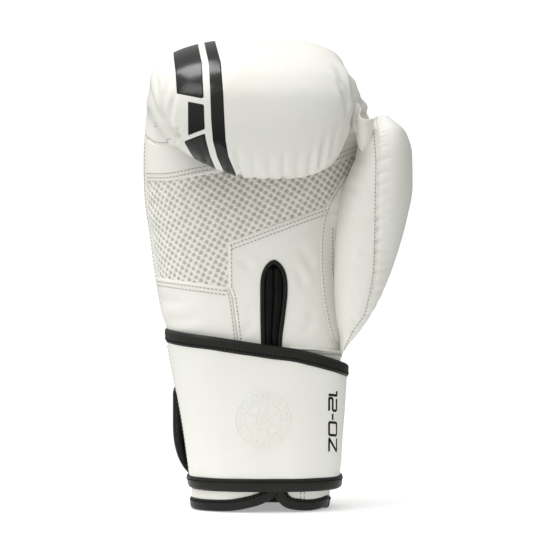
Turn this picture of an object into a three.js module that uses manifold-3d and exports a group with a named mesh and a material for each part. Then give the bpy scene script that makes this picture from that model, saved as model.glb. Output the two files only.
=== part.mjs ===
// A 12 oz boxing glove for the right hand, standing on its cuff with the palm facing -Y.
// Units are millimetres. +Z runs from the cuff to the knuckles, +X towards the thumb.
// Each leather panel, foam pad, lining and binding is its own solid, with a small gap to the next.
import * as THREE from "three";
import { mergeVertices } from "three/addons/utils/BufferGeometryUtils.js";
import Module from "manifold-3d";

const wasm = await Module();
wasm.setup();

// ---------------------------------------------------------------- driving dimensions

const GAP = 0.5; // between neighbouring pieces
const LEATHER = 2.0; // a leather panel with its backing cloth
const LINING = 1.5;
const FAR = 400; // beyond everything, for cutting tools
const RING_SIDES = 24; // facets round an outer loft
const INNER_SIDES = 14; // facets round a cavity
const VISIBLE_TOLERANCE = 0.18; // how far merging small facets may move a surface
const HIDDEN_TOLERANCE = 0.28;
const ROUNDNESS = 2.5; // exponent of the cross sections: 2 is an ellipse, more is squarer

const GLOVE_HEIGHT = 300;
const CENTRE = { x: 8.3, y: -5 }; // middle of the glove's overall box, moved to the origin
const WRIST_Z = 97; // where the hand part meets the cuff
const SIDE_SEAM_Y = 4; // palm panels end here and the back shell begins
const PALM_TOP_Z = 246; // the palm panels run up behind the rolled fist to here
const ROLL_Z = 252; // above this the fist and the back of the hand are one rounded roll

// Stations of each loft: height, then where its left, right, palm-side and back faces are.
const HAND = [
  [90, -54.0, 50.0, -36.6, 39.0],
  [97, -54.8, 50.4, -36.9, 40.5],
  [108, -56.6, 50.8, -36.8, 43.5],
  [116, -61.5, 51.2, -36.4, 47.5],
  [128, -65.2, 50.6, -35.0, 51.5],
  [150, -69.2, 51.0, -32.5, 56.5],
  [175, -72.8, 56.0, -29.5, 60.5],
  [200, -76.6, 62.0, -27.5, 63.5],
  [225, -77.4, 68.0, -25.5, 63.5],
  [245, -76.2, 71.0, -23.0, 60.5],
  [260, -74.5, 68.0, -19.0, 54.5],
  [275, -69.5, 58.0, -13.0, 44.5],
  [288, -60.0, 49.0, -7.0, 32.0],
  [296, -44.0, 36.0, -2.0, 19.0],
  [GLOVE_HEIGHT, -18.0, 14.0, 2.0, 8.0],
];
const FIST = [
  [209, -6.0, 24.0, -56.0, -46.0],
  [212, -20.0, 34.0, -61.0, -39.0],
  [219, -37.0, 45.0, -66.5, -31.0],
  [230, -54.0, 51.5, -71.0, -21.0],
  [244, -66.0, 56.5, -73.5, -9.0],
  [258, -71.0, 60.0, -73.0, 5.0],
  [271, -71.5, 59.5, -67.5, 15.0],
  [283, -66.0, 53.5, -57.0, 20.0],
  [293, -51.0, 43.5, -41.0, 17.0],
  [298.5, -30.0, 26.0, -23.0, 9.0],
  [GLOVE_HEIGHT, -10.0, 8.0, -10.0, 0.0],
];
const THUMB = [
  [101, 49.5, 52.5, -27.0, -16.0],
  [109, 49.0, 58.0, -34.0, -7.0],
  [124, 46.5, 68.5, -39.0, 2.5],
  [144, 45.5, 77.8, -42.0, 9.0],
  [165, 46.0, 85.0, -44.5, 13.0],
  [186, 48.0, 90.6, -46.5, 16.0],
  [206, 51.0, 94.0, -47.0, 18.0],
  [226, 54.0, 93.6, -46.0, 15.5],
  [240, 57.5, 89.5, -42.0, 9.0],
  [249, 63.0, 84.2, -35.0, 1.0],
  [254, 70.5, 80.0, -26.0, -9.0],
];
const HAND_CAVITY = [
  [88, -43.0, 38.5, -26.0, 28.5],
  [112, -46.0, 39.5, -26.4, 31.0],
  [135, -51.0, 40.0, -24.6, 33.5],
  [160, -55.5, 41.0, -22.2, 35.0],
  [185, -58.5, 43.0, -19.0, 35.0],
  [210, -60.0, 46.0, -16.0, 33.5],
  [232, -58.0, 46.0, -16.0, 29.0],
  [247, -52.5, 42.0, -17.0, 20.5],
  [251, -50.0, 40.0, -26.0, 17.0],
  [262, -37.0, 29.0, -24.0, 2.0],
];
const FINGER_CAVITY = [
  [223, -28.0, 26.0, -53.0, -43.0],
  [232, -42.0, 35.0, -58.0, -37.0],
  [242, -49.0, 38.0, -58.0, -35.0],
  [247, -49.0, 38.0, -56.0, -33.0],
  [251, -48.0, 37.0, -53.0, -12.0],
  [257, -45.0, 34.0, -46.0, 0.0],
  [263, -28.0, 22.0, -33.0, -4.0],
];
const THUMB_CAVITY = [
  [126, 52.0, 60.0, -24.0, -8.0],
  [140, 49.0, 67.0, -29.0, -2.0],
  [165, 51.0, 73.0, -31.5, 1.5],
  [186, 56.0, 77.5, -32.5, 3.5],
  [206, 60.0, 80.5, -32.5, 3.5],
  [222, 64.0, 80.5, -29.0, 0.0],
  [234, 68.0, 77.0, -22.0, -7.0],
];
const CUFF = [
  [-2, -44.6, 42.0, -34.6, 34.6],
  [6, -44.8, 42.8, -34.8, 34.8],
  [13, -44.6, 43.6, -34.8, 34.8],
  [21, -42.0, 45.4, -34.8, 34.8],
  [40, -44.5, 46.4, -35.1, 35.3],
  [58, -47.3, 47.7, -35.4, 36.1],
  [77, -50.9, 49.0, -36.1, 37.4],
  [98, -54.9, 50.2, -36.9, 40.3],
];
// The outer face of the wrist strap, 4.9 mm outside the cuff.
const STRAP = [
  [8, -46.0, 50.2, -39.7, 39.7],
  [21, -46.9, 50.4, -39.7, 39.7],
  [40, -49.4, 51.3, -40.0, 40.2],
  [58, -52.2, 52.6, -40.3, 41.0],
  [77, -55.8, 53.9, -41.0, 42.3],
  [98, -59.8, 55.1, -41.8, 45.2],
  [124, -63.2, 56.0, -41.4, 51.6],
];

// Strap: its lower edge is level, and its upper edge falls from the pinky side to the thumb side
// and on round the back to the tab.
const STRAP_BOTTOM_Z = 14;
const STRAP_TOP = { pinky: 115, thumb: 94.5, thumbBack: 90, tab: 78 };
const STRAP_THICKNESS = 2.0;
const STRAP_LINING = 0.9;
const STRAP_GAP = 0.3; // between the strap's own layers
const BINDING_HEIGHT = 8;
const BINDING_LIP = 0.9;
const BINDING_WEB = 1.3; // what the binding adds beyond the edge that it wraps

// Strap folds, as degrees round the wrist from +X towards the back. The strap is sewn down between
// the anchor's back edge and the root fold, on the pinky side.
const FOLD = { root: 188, thumbFront: -22, thumbBack: 40, tab: 140, anchorBack: 172 };
const TAB_TIP = { x: -57.2, y: 4 }; // the tab's outer face at its flared tip
const TAB_THICKNESS = 2.4;
const TAB_LEATHER = 1.1; // the rest of the thickness is the loop patch
const TAB_RIM = 6; // width of the tab's binding
const TAB_UPPER_CORNER = { reach: 8, rise: 8 };
const TAB_LOWER_CORNER = { reach: 24, rise: 36 };
const TAB_WRAP = [128, 140, 152]; // where the tab still follows the wrist, in degrees
const TAB_BOTTOM_Z = 16;

// Palm slit and the cuff flaps on either side of it.
const SLIT = { x: 7, top: 157, halfWidth: 7.6, binding: 2.6 };
const FLAP_HINGE_Y = -6;
const FLAP_GAP = { left: 5.5, right: 9 }; // where the two flaps end, either side of the slit
const CUFF_FOAM = 4.6;
const CUFF_LINING = 1.2;
const CORNER_RISE = 16; // the flaps' lower corners round upwards to the slit
const CORNER_RUN = { left: 34, right: 26 };
const HOOK_PATCH = { from: 112, thickness: 0.5 }; // its front edge, in degrees round the wrist

// Palm panel corners, as [x, z] seen from the palm side.
const MESH_TOP_Z = 211;
const MESH_CORNER = [-21, 170];
const MESH_FOOT = [-20, 141];
const MESH_SIDE_FOOT = [-80, 149];
const DIAGONAL_END = [44, 195];
const WEB_STRIP = [
  [48, 90],
  [46, 104],
  [41, 119],
  [38, 134],
  [37, 150],
  [37.5, 165],
  [39, 182],
  [43, 195],
  [52, 208],
  [60, 213],
];

// The thumb's inner panel ends on this line, [x, z], and its padded outer begins.
const THUMB_SEAM = [
  [50, 80],
  [53, 104],
  [59, 114.5],
  [65, 123],
  [69, 136],
  [71.5, 155],
  [72, 180],
  [72, 280],
];
const THUMB_FOAM_BOTTOM_Z = 112;
const THUMB_PORT = { x: 48, y: -4, z: 151, halfWidth: 9.5, stretch: 1.75, length: 40 };
const GRIP_BAR = { x: -5, y: -26, z: 237, radius: 6.5, half: 34 };

// ---------------------------------------------------------------- materials

const whiteLeather = new THREE.MeshStandardMaterial({ color: 0xeeede8, roughness: 0.55 });
const blackLeather = new THREE.MeshStandardMaterial({ color: 0x1c1b1b, roughness: 0.5 });
const whiteMesh = new THREE.MeshStandardMaterial({ color: 0xdcd9cf, roughness: 0.85 });
const foamGrey = new THREE.MeshStandardMaterial({ color: 0x8a8c90, roughness: 0.95 });
const liningBlack = new THREE.MeshStandardMaterial({ color: 0x26262a, roughness: 0.95 });
const hookBlack = new THREE.MeshStandardMaterial({ color: 0x111113, roughness: 0.8 });
const pileNavy = new THREE.MeshStandardMaterial({ color: 0x1b1a24, roughness: 1.0 });

// ---------------------------------------------------------------- solids

// A closed geometry as a manifold solid.
function solid(geometry) {
  const plain = new THREE.BufferGeometry();
  plain.setAttribute("position", geometry.getAttribute("position"));
  if (geometry.index) plain.setIndex(geometry.index);
  const merged = mergeVertices(plain, 1e-4);
  return new wasm.Manifold(
    new wasm.Mesh({
      numProp: 3,
      vertProperties: merged.getAttribute("position").array,
      triVerts: new Uint32Array(merged.index.array),
    }),
  );
}

// A closed solid through a stack of rings of points, each ring with the same number of points.
function skinOver(rings) {
  const sides = rings[0].length;
  const last = rings.length - 1;
  const positions = rings.flat(2);
  const faces = [];
  const middle = (ring) => [0, 1, 2].map((k) => ring.reduce((sum, point) => sum + point[k], 0) / sides);
  const bottom = positions.length / 3;
  const top = bottom + 1;
  positions.push(...middle(rings[0]), ...middle(rings[last]));
  for (let s = 0; s < sides; s++) {
    const next = (s + 1) % sides;
    for (let r = 0; r < last; r++) {
      const low = r * sides;
      const high = low + sides;
      // The two halves are split along mirrored diagonals, so that opposite faces stay parallel.
      const [a, b, c, d] = [low + s, low + next, high + next, high + s];
      faces.push(...(2 * s < sides ? [a, b, c, a, c, d] : [a, b, d, b, c, d]));
    }
    faces.push(bottom, next, s);
    faces.push(top, last * sides + s, last * sides + next);
  }
  const geometry = new THREE.BufferGeometry();
  geometry.setAttribute("position", new THREE.Float32BufferAttribute(positions, 3));
  geometry.setIndex(faces);
  return solid(geometry);
}

// The point of a rounded cross section at a parameter angle, in radians.
function sectionPoint({ x, y, z, a, b }, angle) {
  const bulge = (v) => Math.sign(v) * Math.abs(v) ** (2 / ROUNDNESS);
  return [x + a * bulge(Math.cos(angle)), y + b * bulge(Math.sin(angle)), z];
}

function section([z, left, right, front, back]) {
  const [a, b] = [(right - left) / 2, (back - front) / 2];
  return { z, x: (left + right) / 2, y: (front + back) / 2, a, b };
}

// A closed loft through the stations, its surface moved outwards by grow.
function loft(stations, grow = 0, sides = RING_SIDES) {
  const sections = stations.map(section);
  const rings = sections.map((ring, i) => {
    const before = sections[Math.max(0, i - 1)];
    const after = sections[Math.min(sections.length - 1, i + 1)];
    const widening = after.a + after.b - before.a - before.b;
    const run = new THREE.Vector2(widening, 2 * (after.z - before.z)).normalize();
    const moved = {
      ...ring,
      z: ring.z - grow * run.x,
      a: Math.max(1, ring.a + grow * run.y),
      b: Math.max(1, ring.b + grow * run.y),
    };
    return Array.from({ length: sides }, (_, s) => sectionPoint(moved, (2 * Math.PI * s) / sides));
  });
  return skinOver(rings);
}

function box(x0, x1, y0, y1, z0, z1) {
  const geometry = new THREE.BoxGeometry(x1 - x0, y1 - y0, z1 - z0);
  geometry.translate((x0 + x1) / 2, (y0 + y1) / 2, (z0 + z1) / 2);
  return solid(geometry);
}

const below = (z) => box(-FAR, FAR, -FAR, FAR, -FAR, z);
const above = (z) => box(-FAR, FAR, -FAR, FAR, z, FAR);
const frontOf = (y) => box(-FAR, FAR, -FAR, y, -FAR, FAR);
const behind = (y) => box(-FAR, FAR, y, FAR, -FAR, FAR);

function extrude(points, depth) {
  const shape = new THREE.Shape(points.map(([a, b]) => new THREE.Vector2(a, b)));
  return new THREE.ExtrudeGeometry(shape, { depth, bevelEnabled: false, steps: 1 });
}

// An [x, z] outline pushed through along Y, from y0 to y1.
function throughPalm(outline, y0 = -FAR, y1 = FAR) {
  const geometry = extrude(outline, y1 - y0);
  geometry.rotateX(Math.PI / 2);
  geometry.translate(0, y1, 0);
  return solid(geometry);
}

// A [y, z] outline pushed through along X, from x0 to x1.
function throughSide(outline, x0 = -FAR, x1 = FAR) {
  const geometry = extrude(outline, x1 - x0);
  geometry.rotateX(Math.PI / 2);
  geometry.rotateZ(Math.PI / 2);
  geometry.translate(x0, 0, 0);
  return solid(geometry);
}

// The wedge of space between two directions round the wrist, in degrees, up to half a turn.
function sector(from, to) {
  const turn = (d) => [FAR * Math.cos((d * Math.PI) / 180), FAR * Math.sin((d * Math.PI) / 180)];
  const arc = [0, 1, 2, 3].map((i) => turn(from + ((to - from) * i) / 3));
  const geometry = extrude([[0, 0], ...arc], FAR);
  geometry.translate(0, 0, -FAR / 2);
  return solid(geometry);
}

// The layer of a loft from `outer` outside its surface to `inner`.
const layer = (stations, outer, inner) => loft(stations, outer).subtract(loft(stations, inner));

// The biggest body of a solid: slivers left by a cut are dropped.
function biggest(made) {
  return made.decompose().sort((a, b) => b.volume() - a.volume())[0];
}

const glove = new THREE.Group();

function add(name, made, material, tolerance = VISIBLE_TOLERANCE) {
  const centred = biggest(biggest(made).simplify(tolerance)).translate([-CENTRE.x, -CENTRE.y, 0]);
  const { vertProperties, triVerts } = centred.getMesh();
  const geometry = new THREE.BufferGeometry();
  geometry.setAttribute("position", new THREE.BufferAttribute(new Float32Array(vertProperties), 3));
  geometry.setIndex(new THREE.BufferAttribute(new Uint32Array(triVerts), 1));
  geometry.computeVertexNormals();
  const mesh = new THREE.Mesh(geometry, material);
  mesh.name = name;
  glove.add(mesh);
}

// ---------------------------------------------------------------- the strap's place

// Height limits of the strap between two verticals, `low` above its lower edge and `high` above
// its upper edge: [x, z] on the front and back, [y, z] on the thumb side.
const heightOutline = (from, fromTop, to, toTop) => (low, high) => [
  [from, STRAP_BOTTOM_Z + low],
  [to, STRAP_BOTTOM_Z + low],
  [to, toTop + high],
  [from, fromTop + high],
];
const frontOutline = heightOutline(-70, STRAP_TOP.pinky, 60, STRAP_TOP.thumb);
const sideOutline = heightOutline(-60, STRAP_TOP.thumb, 60, STRAP_TOP.thumbBack);
const backOutline = heightOutline(-60, STRAP_TOP.tab, 60, STRAP_TOP.thumbBack);
const strapHeights = {
  front: (low, high) => throughPalm(frontOutline(low, high)),
  side: (low, high) => throughSide(sideOutline(low, high)),
  back: (low, high) => throughPalm(backOutline(low, high)),
};
const strapPanel = layer(STRAP, 0, -STRAP_THICKNESS);
const liningFace = -STRAP_THICKNESS - STRAP_GAP;
const strapBack = liningFace - STRAP_LINING;
const strapLining = layer(STRAP, liningFace, strapBack);
const bindingBack = strapBack - STRAP_GAP - BINDING_LIP;
const bindingLayer = layer(STRAP, STRAP_GAP + BINDING_LIP, bindingBack);
const bindingSlot = layer(STRAP, STRAP_GAP, strapBack - STRAP_GAP);
// Everything under the strap keeps out of this.
const strapSpace = layer(STRAP, 4, bindingBack - STRAP_GAP);
const strapEnvelope = strapSpace.intersect(strapHeights.front(-1, 1));

// ---------------------------------------------------------------- hand part

// The rolled fist, carried over the knuckles to the back of the hand.
function fistAt(grow) {
  const fist = loft(FIST, grow);
  const upper = loft(HAND, grow).add(fist).intersect(above(ROLL_Z));
  return fist.add(upper.hull());
}
const bodyAt = (grow) => loft(HAND, grow).add(fistAt(grow)).intersect(above(WRIST_Z));
const fistGrown = fistAt(GAP);
const thumbPort = solid(
  new THREE.CylinderGeometry(THUMB_PORT.halfWidth, THUMB_PORT.halfWidth, THUMB_PORT.length, 14)
    .rotateZ(Math.PI / 2)
    .scale(1, 1, THUMB_PORT.stretch)
    .translate(THUMB_PORT.x, THUMB_PORT.y, THUMB_PORT.z),
);
const gripBarAt = (grow) => {
  const length = 2 * (GRIP_BAR.half + grow);
  const radius = GRIP_BAR.radius + grow;
  const geometry = new THREE.CylinderGeometry(radius, radius, length, 20);
  return solid(geometry.rotateZ(Math.PI / 2).translate(GRIP_BAR.x, GRIP_BAR.y, GRIP_BAR.z));
};
const cavityAt = (grow) =>
  loft(HAND_CAVITY, grow, INNER_SIDES).add(loft(FINGER_CAVITY, grow, INNER_SIDES)).add(thumbPort);

const skinAll = bodyAt(0).subtract(loft(HAND, -LEATHER).add(fistAt(-LEATHER)));
const palmZone = (grow) => box(-FAR, FAR, -FAR, SIDE_SEAM_Y + grow, -FAR, PALM_TOP_Z + grow);
const palmSkin = skinAll
  .intersect(palmZone(0))
  .subtract(fistGrown.add(thumbPort).add(gripBarAt(GAP)))
  .subtract(strapEnvelope);

const shellZone = palmZone(GAP).subtract(fistAt(0)).add(thumbPort).add(gripBarAt(GAP));
add("knuckle_shell", skinAll.subtract(shellZone).subtract(strapEnvelope), whiteLeather);

const meshOutline = [
  [-FAR, MESH_TOP_Z],
  [-FAR, MESH_SIDE_FOOT[1]],
  MESH_SIDE_FOOT,
  MESH_FOOT,
  MESH_CORNER,
  DIAGONAL_END,
  [WEB_STRIP[8][0], WEB_STRIP[8][1]],
  [FAR, MESH_TOP_Z],
];
const meshZone = throughPalm(meshOutline);
const webOutline = [...WEB_STRIP, [FAR, WEB_STRIP.at(-1)[1]], [FAR, WEB_STRIP[0][1]]];
const webZone = throughPalm(webOutline);
const belowMesh = below(MESH_TOP_Z - GAP);
const grown = (outlineSolid) =>
  outlineSolid
    .add(outlineSolid.translate([GAP, 0, 0]))
    .add(outlineSolid.translate([-GAP, 0, 0]))
    .add(outlineSolid.translate([0, 0, GAP]))
    .add(outlineSolid.translate([0, 0, -GAP]));

// The slit: a round-topped slot, open downwards.
function slotOutline(halfWidth, top) {
  const outline = [[SLIT.x - halfWidth, 0]];
  const steps = 8;
  for (let i = 0; i <= steps; i++) {
    const angle = Math.PI * (1 - i / steps);
    outline.push([SLIT.x + halfWidth * Math.cos(angle), top - halfWidth + halfWidth * Math.sin(angle)]);
  }
  outline.push([SLIT.x + halfWidth, 0]);
  return outline.reverse();
}
const slotZone = (grow) => throughPalm(slotOutline(SLIT.halfWidth + grow, SLIT.top + grow), -FAR, 0);
const slotCore = (grow) => slotZone(grow - SLIT.binding);

add("palm_top_band", palmSkin.intersect(above(MESH_TOP_Z)), whiteLeather);
const meshPart = palmSkin.intersect(meshZone).intersect(belowMesh);
add("palm_mesh_panel", meshPart.subtract(grown(webZone)), whiteMesh);
const lowerPalm = palmSkin.subtract(grown(meshZone)).intersect(belowMesh);
const heelSide = box(-FAR, MESH_FOOT[0], -FAR, FAR, -FAR, FAR);
const heelSideGrown = box(-FAR, MESH_FOOT[0] + GAP, -FAR, FAR, -FAR, FAR);
add("pinky_heel_panel", lowerPalm.intersect(heelSide), whiteLeather);
const thumbSide = lowerPalm.subtract(heelSideGrown);
add("palm_thumb_panel", thumbSide.subtract(grown(webZone)).subtract(slotZone(GAP)), whiteLeather);
add("thumb_web_strip", thumbSide.intersect(webZone), whiteLeather);

// The slit's black binding stands 1 mm proud, and two rolled folds close the slot behind it.
const slitBand = layer(HAND, 1, -3).intersect(above(WRIST_Z)).intersect(frontOf(0));
const slitRim = slotZone(0).subtract(slotCore(0));
add("slit_binding", slitBand.intersect(slitRim).subtract(strapEnvelope), blackLeather);
const foldZ = { bottom: WRIST_Z, top: SLIT.top - SLIT.binding - 4 };
for (const [name, side] of [
  ["slit_fold_pinky_side", -1],
  ["slit_fold_thumb_side", 1],
]) {
  const width = SLIT.halfWidth - SLIT.binding;
  const inner = SLIT.x + side * GAP;
  const outer = SLIT.x + side * (width - GAP);
  const strip = box(Math.min(inner, outer), Math.max(inner, outer), -FAR, 0, foldZ.bottom, foldZ.top);
  add(name, layer(HAND, -1.5, -6).intersect(strip), blackLeather);
}

const liningOut = cavityAt(LINING);
const foamOut = bodyAt(-LEATHER - GAP);
const foam = foamOut.subtract(cavityAt(LINING + GAP)).subtract(gripBarAt(GAP));
const palmFoamZone = (grow) => box(-FAR, FAR, -FAR, SIDE_SEAM_Y + grow, -FAR, MESH_TOP_Z + grow);
const backFoamZone = (grow) => behind(SIDE_SEAM_Y + GAP - grow).intersect(below(ROLL_Z + grow));
add("back_of_hand_foam", foam.intersect(backFoamZone(0)), foamGrey, HIDDEN_TOLERANCE);
const fistFoam = foam.subtract(palmFoamZone(GAP).subtract(fistAt(0))).subtract(backFoamZone(GAP));
add("fist_foam", fistFoam, foamGrey, HIDDEN_TOLERANCE);
const palmFoam = foam.intersect(palmFoamZone(0)).subtract(fistGrown).subtract(slotZone(GAP));
add("palm_foam", palmFoam, foamGrey, HIDDEN_TOLERANCE);
const handLining = liningOut.subtract(cavityAt(0)).intersect(above(WRIST_Z));
add("hand_lining", handLining, liningBlack, HIDDEN_TOLERANCE);
add("grip_bar", gripBarAt(0), foamGrey, HIDDEN_TOLERANCE);

// ---------------------------------------------------------------- thumb

const handGrown = loft(HAND, GAP).add(fistGrown);
const thumbAt = (grow) => loft(THUMB, grow).subtract(handGrown);
const thumbHollow = (grow) => loft(THUMB_CAVITY, grow, INNER_SIDES).add(thumbPort);
const thumbSkin = thumbAt(0).subtract(loft(THUMB, -LEATHER)).subtract(thumbPort);
const innerThumb = (grow) =>
  throughPalm([...THUMB_SEAM.map(([x, z]) => [x + grow, z - grow]), [-FAR, 280], [-FAR, 80 - grow]]);
add("thumb_inner_panel", thumbSkin.intersect(innerThumb(0)), whiteLeather);
add("thumb_padded_shell", thumbSkin.subtract(innerThumb(GAP)), whiteLeather);
const thumbCore = loft(THUMB, -LEATHER - GAP).subtract(handGrown);
const thumbFoam = thumbCore.subtract(thumbHollow(LINING + GAP)).intersect(above(THUMB_FOAM_BOTTOM_Z));
add("thumb_foam", thumbFoam, foamGrey, HIDDEN_TOLERANCE);
const thumbPocket = loft(THUMB_CAVITY, LINING, INNER_SIDES).subtract(thumbHollow(0));
add("thumb_lining", thumbCore.intersect(thumbPocket), liningBlack, HIDDEN_TOLERANCE);

// ---------------------------------------------------------------- cuff

const cuffSkin = layer(CUFF, 0, -LEATHER).subtract(strapEnvelope);
const foamInner = -LEATHER - GAP - CUFF_FOAM;
const cuffFoam = layer(CUFF, -LEATHER - GAP, foamInner);
const liningInner = foamInner - GAP - CUFF_LINING;
const cuffLining = layer(CUFF, foamInner - GAP, liningInner);
const cuffHeight = box(-FAR, FAR, -FAR, FAR, BINDING_WEB + GAP, WRIST_Z - GAP);
const cuffBindingLayer = layer(CUFF, GAP + BINDING_LIP, liningInner - GAP - BINDING_LIP);
const cuffBindingOuter = cuffBindingLayer.subtract(strapEnvelope);
const cuffBindingSlot = layer(CUFF, GAP, liningInner - GAP);

// Back half, one with the glove.
const backHalf = behind(FLAP_HINGE_Y + GAP);
add("cuff_back_panel", cuffSkin.intersect(backHalf).intersect(cuffHeight), whiteLeather);
add("cuff_back_foam", cuffFoam.intersect(backHalf).intersect(cuffHeight), foamGrey, HIDDEN_TOLERANCE);
const backLining = cuffLining.intersect(backHalf).intersect(cuffHeight);
add("cuff_back_lining", backLining, liningBlack, HIDDEN_TOLERANCE);
const cuffRim = box(-FAR, FAR, -FAR, FAR, 0, BINDING_HEIGHT);
const cuffRimSlot = box(-FAR, FAR, -FAR, FAR, BINDING_WEB, FAR);
const rimBinding = cuffBindingOuter.intersect(cuffRim).subtract(cuffBindingSlot.intersect(cuffRimSlot));
add("cuff_back_binding", rimBinding.intersect(backHalf), blackLeather);

// A flap's outline on its `side` of the slit: level along the rim, then an arc up to the slit.
function flapOutline(side, inset, top) {
  const edge = side < 0 ? FLAP_GAP.left : FLAP_GAP.right;
  const run = side < 0 ? CORNER_RUN.left : CORNER_RUN.right;
  const outline = [[side * 70, inset]];
  const steps = 8;
  for (let i = 0; i <= steps; i++) {
    const f = i / steps;
    outline.push([edge + side * (run * (1 - f) + inset * 0.5 * f), inset + CORNER_RISE * f * f]);
  }
  outline.push([edge + side * inset * 0.5, top], [side * 70, top]);
  return side < 0 ? outline : outline.reverse();
}
for (const [name, side] of [
  ["pinky", -1],
  ["thumb", 1],
]) {
  const frontHalf = frontOf(FLAP_HINGE_Y);
  const flap = (inset, top) => throughPalm(flapOutline(side, inset, top), -FAR, 0);
  const body = flap(BINDING_WEB + GAP, WRIST_Z - GAP).intersect(frontHalf);
  const whole = flap(0, BINDING_HEIGHT + CORNER_RISE).intersect(frontHalf);
  const past = flap(BINDING_HEIGHT, FAR);
  const slot = flap(BINDING_WEB, FAR);
  add(`cuff_${name}_flap_panel`, cuffSkin.intersect(body), whiteLeather);
  add(`cuff_${name}_flap_foam`, cuffFoam.intersect(body), foamGrey, HIDDEN_TOLERANCE);
  add(`cuff_${name}_flap_lining`, cuffLining.intersect(body), liningBlack, HIDDEN_TOLERANCE);
  const channel = cuffBindingOuter.subtract(cuffBindingSlot.intersect(slot)).subtract(past);
  add(`cuff_${name}_flap_binding`, channel.intersect(whole), blackLeather);
}

// ---------------------------------------------------------------- wrist strap

const FOLD_GAP = 0.6; // degrees left open on each side of a fold

for (const [name, heights, wedge] of [
  ["front", strapHeights.front, sector(FOLD.root + FOLD_GAP, 360 + FOLD.thumbFront - FOLD_GAP)],
  ["side", strapHeights.side, sector(FOLD.thumbFront + FOLD_GAP, FOLD.thumbBack - FOLD_GAP)],
  ["back", strapHeights.back, sector(FOLD.thumbBack + FOLD_GAP, FOLD.tab - FOLD_GAP)],
]) {
  const web = BINDING_WEB + STRAP_GAP;
  const body = heights(web, -web).intersect(wedge);
  add(`strap_${name}_panel`, strapPanel.intersect(body), whiteLeather);
  add(`strap_${name}_lining`, strapLining.intersect(body), liningBlack, HIDDEN_TOLERANCE);
  const channel = bindingLayer.subtract(bindingSlot.intersect(heights(BINDING_WEB, -BINDING_WEB)));
  const upper = heights(0, 0).subtract(heights(0, -BINDING_HEIGHT));
  const lower = heights(0, 0).subtract(heights(BINDING_HEIGHT, 0));
  add(`strap_${name}_upper_binding`, channel.intersect(upper).intersect(wedge), blackLeather);
  add(`strap_${name}_lower_binding`, channel.intersect(lower).intersect(wedge), blackLeather);
}

// The sewn-down end of the strap on the pinky side, and the hook patch that the tab sticks to.
const anchorWedge = sector(FOLD.anchorBack, FOLD.root - FOLD_GAP);
const anchor = strapPanel.add(strapLining).intersect(strapHeights.front(0, 0));
add("strap_anchor", anchor.intersect(anchorWedge), whiteLeather);
const hookLow = STRAP_BOTTOM_Z + BINDING_HEIGHT + 1;
const hookHigh = STRAP_TOP.tab - BINDING_HEIGHT - 1;
const hookWedge = sector(HOOK_PATCH.from, FOLD.anchorBack - 1);
const hookZone = box(-FAR, 0, 0, FAR, hookLow, hookHigh).intersect(hookWedge);
add("hook_patch", layer(CUFF, 2 * GAP + HOOK_PATCH.thickness, GAP).intersect(hookZone), hookBlack);

// A plain raised ring on the front of the strap.
const MEDALLION = { x: -1, z: 57.5, radius: 18.5, width: 2.2, height: 0.6 };
const disc = (radius) =>
  solid(new THREE.CylinderGeometry(radius, radius, 60, 40).translate(MEDALLION.x, -30, MEDALLION.z));
const ringZone = disc(MEDALLION.radius).subtract(disc(MEDALLION.radius - MEDALLION.width));
const ringLayer = layer(STRAP, STRAP_GAP + MEDALLION.height, STRAP_GAP);
add("strap_medallion", ringLayer.intersect(ringZone), whiteLeather);

// A strip between two curves, one below the other, from `outer` to `inner` behind its face.
function strip(lowPath, highPath, steps, outer, inner) {
  const side = (path, f, depth) => {
    const p = path.getPoint(f);
    const t = path.getTangent(f);
    return [p.x - t.y * depth, p.y + t.x * depth, p.z];
  };
  const ringAt = (f) => [
    side(lowPath, f, outer),
    side(lowPath, f, inner),
    side(highPath, f, inner),
    side(highPath, f, outer),
  ];
  return skinOver(Array.from({ length: steps + 1 }, (_, i) => ringAt(i / steps)));
}

// The tab leaves the strap at the tab fold and flares away from the wrist at its rounded tip.
function tabPath(z) {
  const upper = STRAP.findIndex((station) => station[0] > z);
  const f = (z - STRAP[upper - 1][0]) / (STRAP[upper][0] - STRAP[upper - 1][0]);
  const level = section(STRAP[upper].map((v, k) => v * f + STRAP[upper - 1][k] * (1 - f)));
  const wrapped = TAB_WRAP.map((degrees) => sectionPoint(level, THREE.MathUtils.degToRad(degrees)));
  const tip = [TAB_TIP.x, TAB_TIP.y, z];
  return new THREE.CatmullRomCurve3([...wrapped, tip].map((p) => new THREE.Vector3(...p)));
}
const tabFoot = tabPath(TAB_BOTTOM_Z - TAB_RIM);
const tabHead = tabPath(STRAP_TOP.tab + TAB_RIM);
const tabStrip = (outer, inner) => strip(tabFoot, tabHead, 8, outer, inner);

// The tab's outline from the pinky side, [y, z]: a small upper corner and a large lower one.
function tabOutline(inset) {
  const tip = TAB_TIP.y + inset;
  const low = TAB_BOTTOM_Z + inset;
  const high = STRAP_TOP.tab - inset;
  const corner = ({ reach, rise }, edge, way) => {
    const [across, up] = [reach - inset, rise - inset];
    return Array.from({ length: 7 }, (_, i) => {
      const angle = (i * Math.PI) / 12;
      return [tip + across * (1 - Math.cos(angle)), edge + way * up * (1 - Math.sin(angle))];
    });
  };
  const upper = corner(TAB_UPPER_CORNER, high, -1);
  const lower = corner(TAB_LOWER_CORNER, low, 1);
  return [[60, high], ...upper.reverse(), ...lower, [60, low]];
}
const tabWedge = sector(FOLD.tab + FOLD_GAP, 195);
const anchorGrown = loft(STRAP, STRAP_GAP).intersect(sector(FOLD.anchorBack - 1, FOLD.root));
const tabSide = (inset) => throughSide(tabOutline(inset), -FAR, 0).intersect(tabWedge);
const tabZone = (inset) => tabSide(inset).subtract(anchorGrown);
const tabBody = tabZone(BINDING_WEB + GAP);
const tabPanel = tabStrip(0, TAB_LEATHER).intersect(tabBody);
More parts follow.
